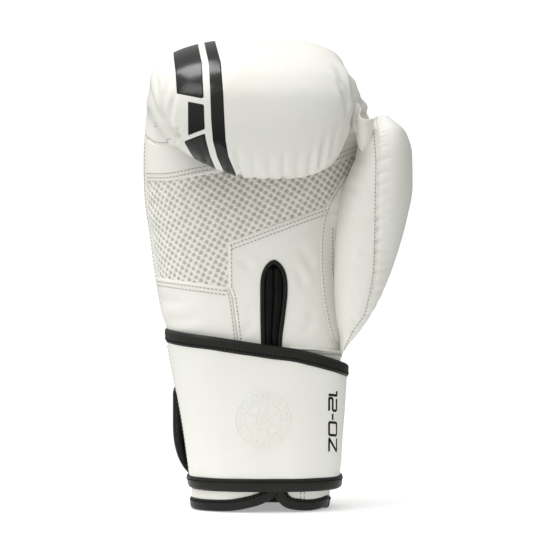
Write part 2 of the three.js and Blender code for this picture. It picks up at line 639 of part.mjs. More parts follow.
const tabPatch = tabStrip(TAB_LEATHER + GAP, TAB_THICKNESS).intersect(tabBody);
add("tab_panel", tabPanel, whiteLeather);
add("tab_loop_patch", tabPatch, pileNavy);
const tabRim = tabZone(0).subtract(tabSide(TAB_RIM));
const tabSlot = tabStrip(-GAP, TAB_THICKNESS + 1).intersect(tabSide(BINDING_WEB));
const tabWhole = tabStrip(-GAP - BINDING_LIP, TAB_THICKNESS);
const tabBinding = tabWhole.subtract(tabSlot).intersect(tabRim);
add("tab_binding", tabBinding.subtract(grown(tabPanel.add(tabPatch))), blackLeather);

// ---------------------------------------------------------------- thumb lock

// A ribbon from the side of the fist to the thumb's tip, folded into a slack loop.
const LOCK = { bottom: 233, top: 256, thickness: 1.6 };
const LOCK_BENDS = [
  [62.3, -37],
  [61.6, -46],
  [65.5, -52],
  [70, -47.5],
  [71.5, -41.5],
];
const lockPath = (z) =>
  new THREE.CatmullRomCurve3(LOCK_BENDS.map(([x, y]) => new THREE.Vector3(x, y, z)));
const halfLock = LOCK.thickness / 2;
const lockRibbon = strip(lockPath(LOCK.bottom), lockPath(LOCK.top), 12, -halfLock, halfLock);
add("thumb_lock_strap", lockRibbon.subtract(handGrown).subtract(loft(THUMB, GAP)), whiteLeather);

export default glove;
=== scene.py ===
import math

import bmesh
import bpy
import numpy as np
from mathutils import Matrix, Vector
from mathutils.bvhtree import BVHTree


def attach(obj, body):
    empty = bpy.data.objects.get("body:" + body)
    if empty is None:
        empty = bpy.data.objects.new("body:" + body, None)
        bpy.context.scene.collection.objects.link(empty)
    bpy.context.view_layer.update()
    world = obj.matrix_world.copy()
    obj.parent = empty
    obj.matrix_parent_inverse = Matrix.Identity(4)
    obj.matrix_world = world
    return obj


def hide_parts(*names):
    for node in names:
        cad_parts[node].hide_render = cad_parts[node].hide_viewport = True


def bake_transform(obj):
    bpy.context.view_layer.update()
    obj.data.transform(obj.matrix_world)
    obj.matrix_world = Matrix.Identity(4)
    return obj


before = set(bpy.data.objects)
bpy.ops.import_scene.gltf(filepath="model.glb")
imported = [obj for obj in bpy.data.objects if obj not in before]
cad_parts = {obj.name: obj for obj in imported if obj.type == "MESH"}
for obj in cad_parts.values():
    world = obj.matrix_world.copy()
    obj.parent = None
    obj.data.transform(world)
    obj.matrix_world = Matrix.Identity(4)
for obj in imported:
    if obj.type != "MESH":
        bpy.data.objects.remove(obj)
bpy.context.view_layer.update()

# ------------------------------------------------------------------ camera
# The glove stands on its cuff and is seen square on, a little above the strap.
camera_data = bpy.data.cameras.new("camera")
camera = bpy.data.objects.new("camera", camera_data)
bpy.context.scene.collection.objects.link(camera)
camera.location = (0.0, -1.5, 0.1493)
camera.rotation_euler = (math.radians(90), 0, 0)
camera_data.lens = 153.2
camera_data.sensor_width = 36.0
bpy.context.scene.camera = camera

# ------------------------------------------------------------------ dimensions, in millimetres
# Working coordinates have their origin at the middle of the wrist; SHIFT moves them into the row frame.
MM = 0.001
SHIFT = np.array([-8.3, 5.0, 0.0])
ROUNDNESS = 2.5
SIDE_SEAM_Y = 4.0
WRIST_Z = 97.0
ROLL_Z = 252.0

# height, left, right, palm side, back
HAND = [
    (86, -53.0, 49.5, -36.3, 38.0), (97, -54.8, 50.4, -36.9, 40.5), (108, -57.6, 50.8, -36.8, 43.5),
    (116, -61.5, 51.2, -36.4, 47.5), (128, -65.2, 50.6, -35.0, 51.5), (150, -69.2, 51.0, -32.5, 56.5),
    (175, -72.8, 56.0, -29.5, 60.5), (200, -76.6, 62.0, -27.5, 63.5), (225, -77.4, 68.0, -25.5, 63.5),
    (245, -76.2, 71.0, -23.0, 60.5), (260, -74.5, 68.0, -19.0, 54.5), (275, -69.5, 58.0, -13.0, 44.5),
    (288, -60.0, 49.0, -7.0, 32.0), (296, -44.0, 36.0, -2.0, 19.0), (300, -18.0, 14.0, 2.0, 8.0),
]
FIST = [
    (209, -6.0, 24.0, -56.0, -46.0), (212, -20.0, 34.0, -61.0, -39.0), (219, -37.0, 45.0, -66.5, -31.0),
    (230, -54.0, 51.5, -71.0, -21.0), (244, -66.0, 56.5, -73.5, -9.0), (258, -71.0, 60.0, -73.0, 5.0),
    (271, -71.5, 59.5, -67.5, 15.0), (283, -66.0, 53.5, -57.0, 20.0), (293, -51.0, 43.5, -41.0, 17.0),
    (298.5, -30.0, 26.0, -23.0, 9.0), (300, -10.0, 8.0, -10.0, 0.0),
]
THUMB = [
    (101, 49.5, 52.5, -27.0, -16.0), (109, 49.0, 58.0, -34.0, -7.0), (124, 46.5, 68.5, -39.0, 2.5),
    (144, 45.5, 77.8, -42.0, 9.0), (165, 46.0, 85.0, -44.5, 13.0), (186, 48.0, 90.6, -46.5, 16.0),
    (206, 52.0, 94.0, -47.0, 18.0), (226, 59.5, 93.6, -46.0, 15.5), (240, 62.5, 89.5, -42.0, 9.0),
    (249, 66.0, 84.2, -35.0, 1.0), (254, 70.5, 80.0, -26.0, -9.0),
]
HAND_CAVITY = [
    (90, -43.0, 38.5, -26.0, 28.5), (112, -46.0, 39.5, -26.4, 31.0), (135, -51.0, 40.0, -24.6, 33.5),
    (160, -55.5, 41.0, -22.2, 35.0), (185, -58.5, 43.0, -19.0, 35.0), (210, -60.0, 46.0, -16.0, 33.5),
    (232, -58.0, 46.0, -16.0, 29.0), (247, -52.5, 42.0, -17.0, 20.5), (262, -37.0, 29.0, -20.0, 2.0),
]
CUFF = [
    (-2, -44.6, 42.0, -34.6, 34.6), (6, -44.8, 42.8, -34.8, 34.8), (13, -44.6, 43.6, -34.8, 34.8),
    (21, -42.0, 45.4, -34.8, 34.8), (40, -44.5, 46.4, -35.1, 35.3), (58, -47.3, 47.7, -35.4, 36.1),
    (77, -50.9, 49.0, -36.1, 37.4), (98, -54.9, 50.2, -36.9, 40.3),
]
STRAP = [
    (8, -46.0, 50.2, -39.7, 39.7), (21, -46.9, 50.4, -39.7, 39.7), (40, -49.4, 51.3, -40.0, 40.2),
    (58, -52.2, 52.6, -40.3, 41.0), (77, -55.8, 53.9, -41.0, 42.3), (98, -59.8, 55.1, -41.8, 45.2),
    (124, -63.2, 56.0, -41.4, 51.6),
]

# Seam lines on the palm, [x, z].
PILLOW_EDGE = [(-95, 239), (-74.4, 237.2), (-71.8, 234.6), (-68.3, 232.2), (-63.1, 230.8), (-53.2, 230.8),
               (40, 232), (95, 238)]
BAND_EDGE = [(-95, 210), (-76.3, 209.6), (-59, 209), (-36.5, 212.8), (-10, 217), (30, 216.5), (46, 219.5),
             (60, 226), (95, 240)]
MESH_DIAGONAL = [(-21.5, 169.9), (43.6, 194.2), (62, 201)]
MESH_FOOT = [(-95, 151.5), (-67.9, 147.8), (-22.0, 141.7)]
HEEL_SEAM = [(-21.2, 141.5), (-18.5, 135.3), (-15.1, 109), (-14, 90)]
WEB_LEFT = [(52, 212), (47.4, 204.5), (41, 192.9), (37.5, 179.5), (36.5, 162.2), (37.2, 144.9),
            (39.1, 129.5),
            (42.7, 112.8), (47.9, 101.9), (50, 90)]
THUMB_SEAM = [(50, 80), (52.5, 100), (55.3, 107.7), (58.8, 114.5), (64.8, 123), (67.4, 132), (70.1, 145),
              (71.3, 162),
              (71.8, 197), (72.2, 223), (70.5, 249), (70, 280)]

# Strap: degrees round the wrist from +X through the back; the edge heights at each place.
STRAP_TOP = [(165, 115.5), (188, 113.8), (227, 110.3), (255, 107.0), (277, 104.6), (298, 102.4),
             (315, 99.1),
             (330, 95.6), (345, 92.9), (360, 91.6), (400, 89.5), (450, 84.5), (500, 78.5), (620, 77.6)]
STRAP_BOTTOM = [(165, 13.9), (488, 13.9), (510, 15.8), (620, 16.2)]
TAB_START = 488.0
TAB_END = 600.0
TAB_WRAP = (128, 140, 152)
TAB_TIP = (-57.2, 4.0)
TAB_CORNER = (24.0, 36.0)  # the lower corner's run and rise
TAB_UPPER_CORNER = 5.0
BINDING_ROW = {"radius": 0.34}  # the heavier thread on the wide bindings

# ------------------------------------------------------------------ curves and lofts


def monotone(t, v, at):
    """A smooth curve through the values v at t that never overshoots them."""
    t, v, at = (np.asarray(q, float) for q in (t, v, at))
    h, d = np.diff(t), np.diff(v) / np.diff(t)
    m = np.zeros_like(v)
    same = d[:-1] * d[1:] > 0
    w1, w2 = 2 * h[1:] + h[:-1], h[1:] + 2 * h[:-1]
    with np.errstate(divide="ignore", invalid="ignore"):
        harmonic = (w1 + w2) / (w1 / d[:-1] + w2 / d[1:])
    m[1:-1] = np.where(same, harmonic, 0)
    m[0], m[-1] = d[0], d[-1]
    i = np.clip(np.searchsorted(t, at) - 1, 0, len(h) - 1)
    s = (at - t[i]) / h[i]
    return (
        v[i] * (1 + 2 * s) * (1 - s) ** 2
        + m[i] * h[i] * s * (1 - s) ** 2
        + v[i + 1] * s * s * (3 - 2 * s)
        + m[i + 1] * h[i] * s * s * (s - 1)
    )


class Loft:
    """A smooth tube through stations of rounded cross sections."""

    def __init__(self, stations):
        s = np.array(stations, float)
        run = np.sqrt(np.diff(s[:, 0]) ** 2 + 0.25 * (np.diff(s[:, 1:], axis=0) ** 2).sum(1))
        t = np.concatenate([[0], np.cumsum(run)])
        self.t = np.linspace(0, t[-1], 900)
        self.rows = np.stack([monotone(t, s[:, k], self.t) for k in range(5)], 1)
        self.low, self.high = s[0, 0], s[-1, 0]

    def sides(self, z):
        left, right, front, back = (np.interp(z, self.rows[:, 0], self.rows[:, k]) for k in range(1, 5))
        return (left + right) / 2, (front + back) / 2, (right - left) / 2, (back - front) / 2

    def reach(self, turn, a, b):
        c, s = np.abs(np.cos(turn)), np.abs(np.sin(turn))
        return ((c / a) ** ROUNDNESS + (s / b) ** ROUNDNESS) ** (-1 / ROUNDNESS)

    def point(self, degrees, z):
        """The surface point at a direction seen from the section's own centre."""
        degrees, z = np.broadcast_arrays(np.asarray(degrees, float), np.asarray(z, float))
        turn = np.radians(degrees)
        x, y, a, b = self.sides(z)
        r = self.reach(turn, a, b)
        return np.stack([x + r * np.cos(turn), y + r * np.sin(turn), z], -1)

    def wrap(self, degrees, z):
        """The surface point at a direction seen from the middle of the wrist."""
        aim = np.asarray(degrees, float)
        turn = aim
        for _ in range(6):
            p = self.point(turn, z)
            seen = np.degrees(np.arctan2(p[..., 1], p[..., 0]))
            turn = turn + (aim - seen + 180) % 360 - 180
        return self.point(turn, z)

    def outside(self, p):
        """How far points are outside the surface, about, in millimetres."""
        x, y, a, b = self.sides(p[:, 2])
        dx, dy = p[:, 0] - x, p[:, 1] - y
        r = np.hypot(dx, dy) + 1e-9
        reach = self.reach(np.arctan2(dy, dx), a, b)
        beyond = np.maximum(self.low - p[:, 2], p[:, 2] - self.high)
        return np.where(beyond > 0, np.maximum(beyond, r - reach), r - reach)

    def dome(self, sides, rows):
        """A closed mesh of the whole loft, rows spaced evenly along its outline."""
        z = np.interp(np.linspace(0, self.t[-1], rows), self.t, self.rows[:, 0])
        turn = np.arange(sides) * 360 / sides
        grid = self.point(turn[None, :], z[:, None])
        points = grid.reshape(-1, 3)
        low, high = len(points), len(points) + 1
        points = np.vstack([points, grid[0].mean(0), grid[-1].mean(0)])
        c = np.arange(sides)
        n = (c + 1) % sides
        last = (rows - 1) * sides
        foot = np.stack([np.full(sides, low), n, c], 1)
        cap = np.stack([np.full(sides, high), last + c, last + n], 1)
        return points, np.vstack([ring_faces(rows, sides), foot, cap])


hand, fist, thumb = Loft(HAND), Loft(FIST), Loft(THUMB)
cavity, cuff, strap = Loft(HAND_CAVITY), Loft(CUFF), Loft(STRAP)


def catmull(points, f):
    """A smooth curve through points, f from 0 to 1; points is k × ... × 3."""
    p = np.asarray(points, float)
    p = np.concatenate([2 * p[:1] - p[1:2], p, 2 * p[-1:] - p[-2:-1]])
    n = len(p) - 3
    s = np.clip(np.asarray(f, float) * n, 0, n - 1e-9)
    i = s.astype(int)
    s = (s - i)[:, None] if p.ndim == 2 else (s - i).reshape(-1, *([1] * (p.ndim - 1)))
    a, b, c, d = p[i], p[i + 1], p[i + 2], p[i + 3]
    return 0.5 * (2 * b + (c - a) * s + (2 * a - 5 * b + 4 * c - d) * s**2 + (3 * b - a - 3 * c + d) * s**3)


def resample(line, step):
    """Points every `step` along a line of any dimension, its ends kept."""
    line = np.asarray(line, float)
    run = np.concatenate([[0], np.cumsum(np.linalg.norm(np.diff(line, axis=0), axis=1))])
    count = max(2, int(round(run[-1] / step)) + 1)
    at = np.linspace(0, run[-1], count)
    return np.stack([np.interp(at, run, line[:, k]) for k in range(line.shape[1])], 1)


def smooth_line(line, step=1.0):
    return resample(catmull(line, np.linspace(0, 1, 20 * len(line))), step)


def line_distance(p, line):
    """For each 2-D point: its distance from a line of segments, its side (left is positive) and how far
    along the line it is."""
    line = np.asarray(line, float)
    best = np.full(len(p), 1e9)
    side = np.ones(len(p))
    along = np.zeros(len(p))
    run = 0.0
    for a, b in zip(line[:-1], line[1:]):
        d = b - a
        size = np.hypot(*d)
        if size < 1e-9:
            continue
        rel = p - a
        f = np.clip((rel @ d) / size**2, 0, 1)
        gap = np.hypot(*(rel - f[:, None] * d).T)
        near = gap < best
        best = np.where(near, gap, best)
        side = np.where(near, np.sign(d[0] * rel[:, 1] - d[1] * rel[:, 0]), side)
        along = np.where(near, run + f * size, along)
        run += size
    return best, side, along


def inside(p, polygon):
    """Signed distance from a polygon's border, positive inside."""
    ring = np.asarray(list(polygon) + [polygon[0]], float)
    gap, _, _ = line_distance(p, ring)
    x, z = p[:, 0], p[:, 1]
    odd = np.zeros(len(p), bool)
    for (ax, az), (bx, bz) in zip(ring[:-1], ring[1:]):
        if az != bz:
            cross = ((az > z) != (bz > z)) & (x < (bx - ax) * (z - az) / (bz - az) + ax)
            odd ^= cross
    return np.where(odd, gap, -gap)


def unit(v):
    """Rows scaled to a length of one."""
    return v / (np.linalg.norm(v, axis=-1, keepdims=True) + 1e-12)


def ring_faces(rings, k):
    """Triangles between rings of k points each."""
    r, c = np.meshgrid(np.arange(rings - 1), np.arange(k), indexing="ij")
    a, b = (r * k + c).ravel(), (r * k + (c + 1) % k).ravel()
    return np.vstack([np.stack([a, b, b + k], 1), np.stack([a, b + k, a + k], 1)])


def ease(x):
    """A smooth step from 0 to 1."""
    x = np.clip(x, 0, 1)
    return x * x * (3 - 2 * x)


def seeded(n, k):
    """Repeatable values from -1 to 1."""
    return np.random.default_rng(k).uniform(-1, 1, n)


# ------------------------------------------------------- skins: triangles with values at their points


def skin(points, faces, **values):
    return {"P": np.asarray(points, float), "F": np.asarray(faces, int), **values}


def grid_faces(rows, cols):
    r, c = np.meshgrid(np.arange(rows - 1), np.arange(cols - 1), indexing="ij")
    a = (r * cols + c).ravel()
    flip = ((r + c) % 2).ravel().astype(bool)
    b, d, e = a + 1, a + cols, a + cols + 1
    one = np.where(flip[:, None], np.stack([a, b, e], 1), np.stack([a, b, d], 1))
    two = np.where(flip[:, None], np.stack([a, e, d], 1), np.stack([b, e, d], 1))
    return np.vstack([one, two])


def grid_skin(grid, **values):
    rows, cols = grid.shape[:2]
    return skin(grid.reshape(-1, 3), grid_faces(rows, cols),
                **{k: v.reshape(rows * cols, *v.shape[2:]) for k, v in values.items()})


def normals(s):
    p, f = s["P"], s["F"]
    n = np.cross(p[f[:, 1]] - p[f[:, 0]], p[f[:, 2]] - p[f[:, 0]])
    out = np.zeros_like(p)
    for k in range(3):
        for axis in range(3):
            out[:, axis] += np.bincount(f[:, k], n[:, axis], len(p))
    return unit(out)


def split(s, field, level=0.0):
    """Cuts the triangles along the line where a value reaches a level."""
    f = s[field] - level
    f = np.where(np.abs(f) < 1e-5, 1e-5, f)
    faces = s["F"]
    up = (f > 0)[faces]
    mixed = up.any(1) & ~up.all(1)
    if not mixed.any():
        return s
    t, u = faces[mixed], up[mixed]
    lone = np.where(u.sum(1) == 1, u.argmax(1), (~u).argmax(1))
    t = np.take_along_axis(t, (lone[:, None] + np.arange(3)) % 3, 1)
    a, b, c = t.T
    ends, back = np.unique(np.sort(np.vstack([np.stack([a, b], 1), np.stack([a, c], 1)]), 1), axis=0,
                           return_inverse=True)
    back = back.ravel()
    w = f[ends[:, 0]] / (f[ends[:, 0]] - f[ends[:, 1]])
    out = {}
    for k, v in s.items():
        if k != "F":
            share = w if v.ndim == 1 else w[:, None]
            out[k] = np.concatenate([v, v[ends[:, 0]] * (1 - share) + v[ends[:, 1]] * share])
    ab, ac = len(f) + back[: len(t)], len(f) + back[len(t):]
    new = [np.stack(q, 1) for q in ((a, ab, ac), (ab, b, c), (ab, c, ac))]
    out["F"] = np.vstack([faces[~mixed], *new])
    return out


def trim(s, faces_kept):
    """The skin with only some of its faces, and only the points that they use."""
    faces = s["F"][faces_kept]
    used = np.unique(faces)
    back = np.full(len(s["P"]), -1)
    back[used] = np.arange(len(used))
    out = {k: v[used] for k, v in s.items() if k != "F"}
    out["F"] = back[faces]
    return out


def cut(s, field, level=0.0, rows=()):
    """Keeps what is above the level, with extra rows of points at the given distances from the edge."""
    for extra in (0.0, *rows):
        s = split(s, field, level + extra)
    middle = s[field][s["F"]].mean(1)
    return trim(s, middle > level)


def rim(faces):
    """The edges that only one face uses, in the face's direction."""
    e = np.vstack([faces[:, [0, 1]], faces[:, [1, 2]], faces[:, [2, 0]]])
    key = np.sort(e, 1)
    _, first, count = np.unique(key, axis=0, return_index=True, return_counts=True)
    return e[first[count == 1]]


def skirt(s, depth, direction=None):
    """Folds the skin's free edges inwards, so that a panel has a thickness at its edge."""
    n = normals(s) if direction is None else direction
    e = rim(s["F"])
    ids = np.unique(e)
    back = np.full(len(s["P"]), -1)
    back[ids] = len(s["P"]) + np.arange(len(ids))
    out = {k: np.concatenate([v, v[ids]]) for k, v in s.items() if k != "F"}
    out["P"][len(s["P"]):] -= n[ids] * depth
    a, b = e.T
    out["F"] = np.vstack([s["F"], np.stack([b, a, back[a]], 1), np.stack([b, back[a], back[b]], 1)])
    return out


EDGE_ROWS = (0.12, 0.35, 0.75, 1.3, 2.0)


def rounded_edge(distance, radius=1.6, drop=1.0):
    """How far a padded panel sinks near its edge."""
    f = np.clip(1 - distance / radius, 0, 1)
    return -drop * (1 - np.sqrt(1 - f**2 * 0.999))


def valley(gap, width):
    return np.exp(-((gap / width) ** 2))


# ------------------------------------------------------------------ objects


def link(name, mesh):
    obj = bpy.data.objects.new(name, mesh)
    bpy.context.scene.collection.objects.link(obj)
    return obj


def build(name, s, material, **values):
    """A smooth-shaded object from a skin."""
    mesh = bpy.data.meshes.new(name)
    p = (s["P"] + SHIFT) * MM
    mesh.from_pydata(p.tolist(), [], s["F"].tolist())
    mesh.update()
    for key, v in values.items():
        mesh.attributes.new(key, "FLOAT", "POINT").data.foreach_set("value", np.asarray(v, np.float32))
    mesh.polygons.foreach_set("use_smooth", np.ones(len(mesh.polygons), bool))
    mesh.materials.append(material)
    return link(name, mesh)


def merge(parts):
    """One point and face list from several."""
    points, faces, start = [], [], 0
    for p, f in parts:
        points.append(p)
        faces.append(np.asarray(f) + start)
        start += len(p)
    return np.vstack(points), np.vstack(faces)


def tube(path, out, profile, caps=True):
    """Sweeps a profile of [across, outwards] points along a path whose outward directions are given."""
    path, out = np.asarray(path, float), np.asarray(out, float)
    tangent = unit(np.gradient(path, axis=0))
    out = unit(out - (out * tangent).sum(1, keepdims=True) * tangent)
    across = np.cross(tangent, out)
    profile = np.asarray(profile, float)
    if profile.ndim == 2:
        profile = np.repeat(profile[None], len(path), 0)
    rings = path[:, None] + across[:, None] * profile[:, :, :1] + out[:, None] * profile[:, :, 1:]
    k = profile.shape[1]
    faces = ring_faces(len(path), k)
    points = rings.reshape(-1, 3)
    if caps:
        lo, hi = len(points), len(points) + 1
        points = np.vstack([points, rings[0].mean(0), rings[-1].mean(0)])
        c = np.arange(k)
        n = (c + 1) % k
        last = (len(path) - 1) * k
        faces = np.vstack([faces, np.stack([np.full(k, lo), n, c], 1),
                           np.stack([np.full(k, hi), last + c, last + n], 1)])
    return points, faces


def circle(count):
    """The points of a circle of radius one."""
    t = np.arange(count) * 2 * math.pi / count
    return np.stack([np.cos(t), np.sin(t)], 1)


class Surface:
    """A skin that lines can be laid on."""

    def __init__(self, *skins):
        points, faces = merge([(s["P"], s["F"]) for s in skins])
        self.tree = BVHTree.FromPolygons(points.tolist(), faces.tolist())

    def seen(self, line, axis=1, sign=1, start=-220.0):
        """A line of two coordinates, dropped on the surface along an axis: points and outward directions."""
        points, out = [], []
        for a, b in line:
            origin = [a, start, b] if axis == 1 else [start, a, b]
            way = (0, sign, 0) if axis == 1 else (sign, 0, 0)
            hit, n, _, _ = self.tree.ray_cast(Vector(origin), Vector(way))
            if hit is not None:
                points.append(hit)
                out.append(n if n.dot(Vector(way)) < 0 else -n)
        return np.array(points).reshape(-1, 3), np.array(out).reshape(-1, 3)


def level_out(out, passes=3):
    """Evens out directions along a line."""
    for _ in range(passes):
        out = np.vstack([out[:1], (out[:-2] + out[1:-1] * 2 + out[2:]) / 4, out[-1:]])
    return unit(out)


STITCH_PITCH = 2.5
STITCH_LENGTH = 1.95
STITCH_RADIUS = 0.3
STITCH_RINGS = 7
STITCH_SIDES = 8
LINE_STEP = 0.8  # spacing of the points that carry a row of stitches


def thread(points, out, pitch=STITCH_PITCH, length=STITCH_LENGTH, radius=STITCH_RADIUS, sink=0.02, seed=1):
    """A row of stitches along a line that lies on a surface: one short rounded loop of thread for each."""
    if len(points) < 2:
        return None
    step = 0.25
    both = resample(np.hstack([points, out]), step)
    along = np.concatenate([[0], np.cumsum(np.linalg.norm(np.diff(both[:, :3], axis=0), axis=1))])
    n = int(along[-1] // pitch)
    if n < 1:
        return None
    lean = seeded(n, seed) * 0.05
    parts = []
    f = np.linspace(-1, 1, STITCH_RINGS)
    ring = np.arange(STITCH_SIDES) * 2 * np.pi / STITCH_SIDES
    across, upwards = np.cos(ring)[None, :, None], np.sin(ring)[None, :, None]
    for i in range(n):
        at = (i + 0.5) * along[-1] / n + f * length / 2
        p = np.stack([np.interp(at, along, both[:, k]) for k in range(6)], 1)
        q, o = p[:, :3], unit(p[:, 3:])
        thick = radius * np.sqrt(np.maximum(1 - f**4, 0.05))
        lift = radius * (0.55 - 0.9 * f**4) - sink
        side = np.cross(unit(np.gradient(q, axis=0)), o)
        mid = q + o * lift[:, None] + side * (lean[i] * f)[:, None]
        loops = mid[:, None] + thick[:, None, None] * (side[:, None] * across + o[:, None] * upwards)
        parts.append((loops.reshape(-1, 3), ring_faces(len(f), len(ring))[:, ::-1]))
    return merge(parts)


# ------------------------------------------------------------------ materials


class Nodes:
    """Adds and links shader nodes in one material."""

    def __init__(self, name):
        self.material = bpy.data.materials.new(name)
        self.material.use_nodes = True
        self.tree = self.material.node_tree
        self.shader = self.tree.nodes["Principled BSDF"]
        self.place = self.add("ShaderNodeTexCoord").outputs["Object"]

    def add(self, kind, **settings):
        node = self.tree.nodes.new(kind)
        for key, value in settings.items():
            if key in node.inputs:
                node.inputs[key].default_value = value
            else:
                setattr(node, key, value)
        return node

    def link(self, a, b):
        self.tree.links.new(a, b)

    def noise(self, scale, detail=2.0, rough=0.5, stretch=None):
        node = self.add("ShaderNodeTexNoise", Scale=scale, Detail=detail, Roughness=rough)
        self.link(self.mapped(stretch) if stretch else self.place, node.inputs["Vector"])
        return node.outputs["Fac"]

    def mapped(self, stretch):
        node = self.add("ShaderNodeMapping", Scale=stretch)
        self.link(self.place, node.inputs["Vector"])
        return node.outputs["Vector"]

    def cells(self, scale, feature="F1"):
        node = self.add("ShaderNodeTexVoronoi", feature=feature, Scale=scale)
        self.link(self.place, node.inputs["Vector"])
        return node.outputs["Distance"]

    def wave(self, scale, direction, distortion=0.0):
        node = self.add("ShaderNodeTexWave", bands_direction=direction, Scale=scale, Distortion=distortion)
        self.link(self.place, node.inputs["Vector"])
        return node.outputs["Fac"]

    def value(self, name):
        return self.add("ShaderNodeAttribute", attribute_name=name).outputs["Fac"]

    def math(self, operation, a, b):
        node = self.add("ShaderNodeMath", operation=operation)
        for socket, q in zip(node.inputs, (a, b)):
            if isinstance(q, (int, float)):
                socket.default_value = q
            else:
                self.link(q, socket)
        return node.outputs[0]

    def ramp(self, fac, stops):
        node = self.add("ShaderNodeValToRGB")
        while len(node.color_ramp.elements) < len(stops):
            node.color_ramp.elements.new(0.5)
        for element, (at, colour) in zip(node.color_ramp.elements, stops):
            element.position = at
            element.color = colour if len(colour) == 4 else (*colour, 1)
        self.link(fac, node.inputs["Fac"])
        return node.outputs["Color"]

    def bump(self, heights):
        """Stacks bumps: (height, strength, distance in metres)."""
        last = None
        for height, strength, distance in heights:
            node = self.add("ShaderNodeBump", Strength=strength, Distance=distance)
            self.link(height, node.inputs["Height"])
            if last:
                self.link(last, node.inputs["Normal"])
            last = node.outputs["Normal"]
        self.link(last, self.shader.inputs["Normal"])

    def colour(self, socket):
        self.link(socket, self.shader.inputs["Base Color"])

    def rough(self, socket):
        self.link(socket, self.shader.inputs["Roughness"])

    def set(self, **settings):
        for key, value in settings.items():
            self.shader.inputs[key.replace("_", " ")].default_value = value


def grey(v, warm=0.0):
    return (v, v * (1 - 0.2 * warm), v * (1 - 2.4 * warm))


def leather(name, tone, warm, rough, grain, spread=0.03):
    """Smooth coated leather: a fine pebble, soft unevenness, slightly duller and darker in places."""
    m = Nodes(name)
    patches = m.noise(26, 3)
    m.colour(m.ramp(patches, [(0.3, grey(tone * (1 - spread), warm * 1.4)), (0.7, grey(tone, warm))]))
    m.rough(m.ramp(m.noise(120, 4), [(0.3, grey(rough - 0.05)), (0.7, grey(rough + 0.07))]))
    pebble = m.math("ADD", m.cells(1500), m.math("MULTIPLY", m.noise(700, 4, 0.6), 0.7))
    m.bump([(m.noise(48, 3, 0.5), 0.35, 0.0009), (pebble, grain, 0.00012)])
    m.set(Specular_IOR_Level=0.42 if tone > 0.1 else 0.14)
    return m.material


def make_film():
    m = Nodes("black_film")
    m.colour(m.ramp(m.noise(90, 3), [(0.3, (0.0015, 0.0013, 0.0014)), (0.8, (0.003, 0.0027, 0.003))]))
    scuffs = m.noise(900, 3, 0.7, stretch=(1, 1, 0.08))
    m.rough(m.ramp(scuffs, [(0.35, grey(0.17)), (0.8, grey(0.26))]))
    m.bump([(m.noise(160, 2), 0.2, 0.0003), (scuffs, 0.04, 0.0001)])
    m.set(Specular_IOR_Level=0.36)
    return m.material


def make_mesh_cloth():
    m = Nodes("spacer_mesh")
    # Painted shade: the colour darkens from the yarn's tone towards the middle of each hole, standing in for
    # the shade inside the holes.
    hole = m.value("hole")
    m.colour(m.ramp(hole, [(0.0, (0.79, 0.785, 0.735)), (0.4, (0.72, 0.712, 0.66)),
                           (1.0, (0.46, 0.455, 0.41))]))
    twist = m.wave(420, "X", 6.0)
    m.bump([(m.noise(1700, 3, 0.7), 0.5, 0.0002), (twist, 0.35, 0.00015)])
    m.set(Roughness=0.9, Specular_IOR_Level=0.2, Sheen_Weight=0.15, Sheen_Roughness=0.5)
    return m.material


def make_cloth(name, tone, scale, sheen=0.2):
    m = Nodes(name)
    over, under = m.wave(scale, "Z"), m.wave(scale, "X")
    weave = m.math("MULTIPLY", over, under)
    m.colour(m.ramp(weave, [(0.0, grey(tone * 0.55)), (1.0, grey(tone))]))
    m.bump([(weave, 0.6, 0.0003), (m.noise(1500, 3, 0.7), 0.3, 0.0002)])
    m.set(Roughness=0.92, Specular_IOR_Level=0.2, Sheen_Weight=sheen, Sheen_Roughness=0.5)
    return m.material


def make_pile(name, colour, sheen):
    m = Nodes(name)
    fuzz = m.noise(1300, 4, 0.75)
    lit = tuple(c * 2.4 for c in colour)
    m.colour(m.ramp(fuzz, [(0.35, colour), (0.75, lit)]))
    m.bump([(m.cells(900), 0.9, 0.0006), (fuzz, 0.7, 0.0004)])
    m.set(Roughness=0.95, Specular_IOR_Level=0.15, Sheen_Weight=sheen, Sheen_Roughness=0.6)
    return m.material


def make_thread(name, tone, warm, shine=0.3):
    m = Nodes(name)
    m.colour(m.ramp(m.noise(600, 2), [(0.3, grey(tone * 0.85, warm)), (0.7, grey(tone, warm))]))
    m.bump([(m.wave(1100, "DIAGONAL", 1.0), 0.5, 0.0002)])
    m.set(Roughness=0.6, Specular_IOR_Level=shine)
    return m.material


def make_floor():
    m = Nodes("floor")
    m.colour(m.ramp(m.noise(4, 3), [(0.3, grey(0.86)), (0.7, grey(0.88))]))
    m.rough(m.ramp(m.noise(40, 3), [(0.3, grey(0.75)), (0.7, grey(0.85))]))
    m.bump([(m.noise(200, 2), 0.05, 0.0004)])
    m.set(Specular_IOR_Level=0.1, Emission_Color=(1, 1, 1, 1), Emission_Strength=0.35)
    return m.material


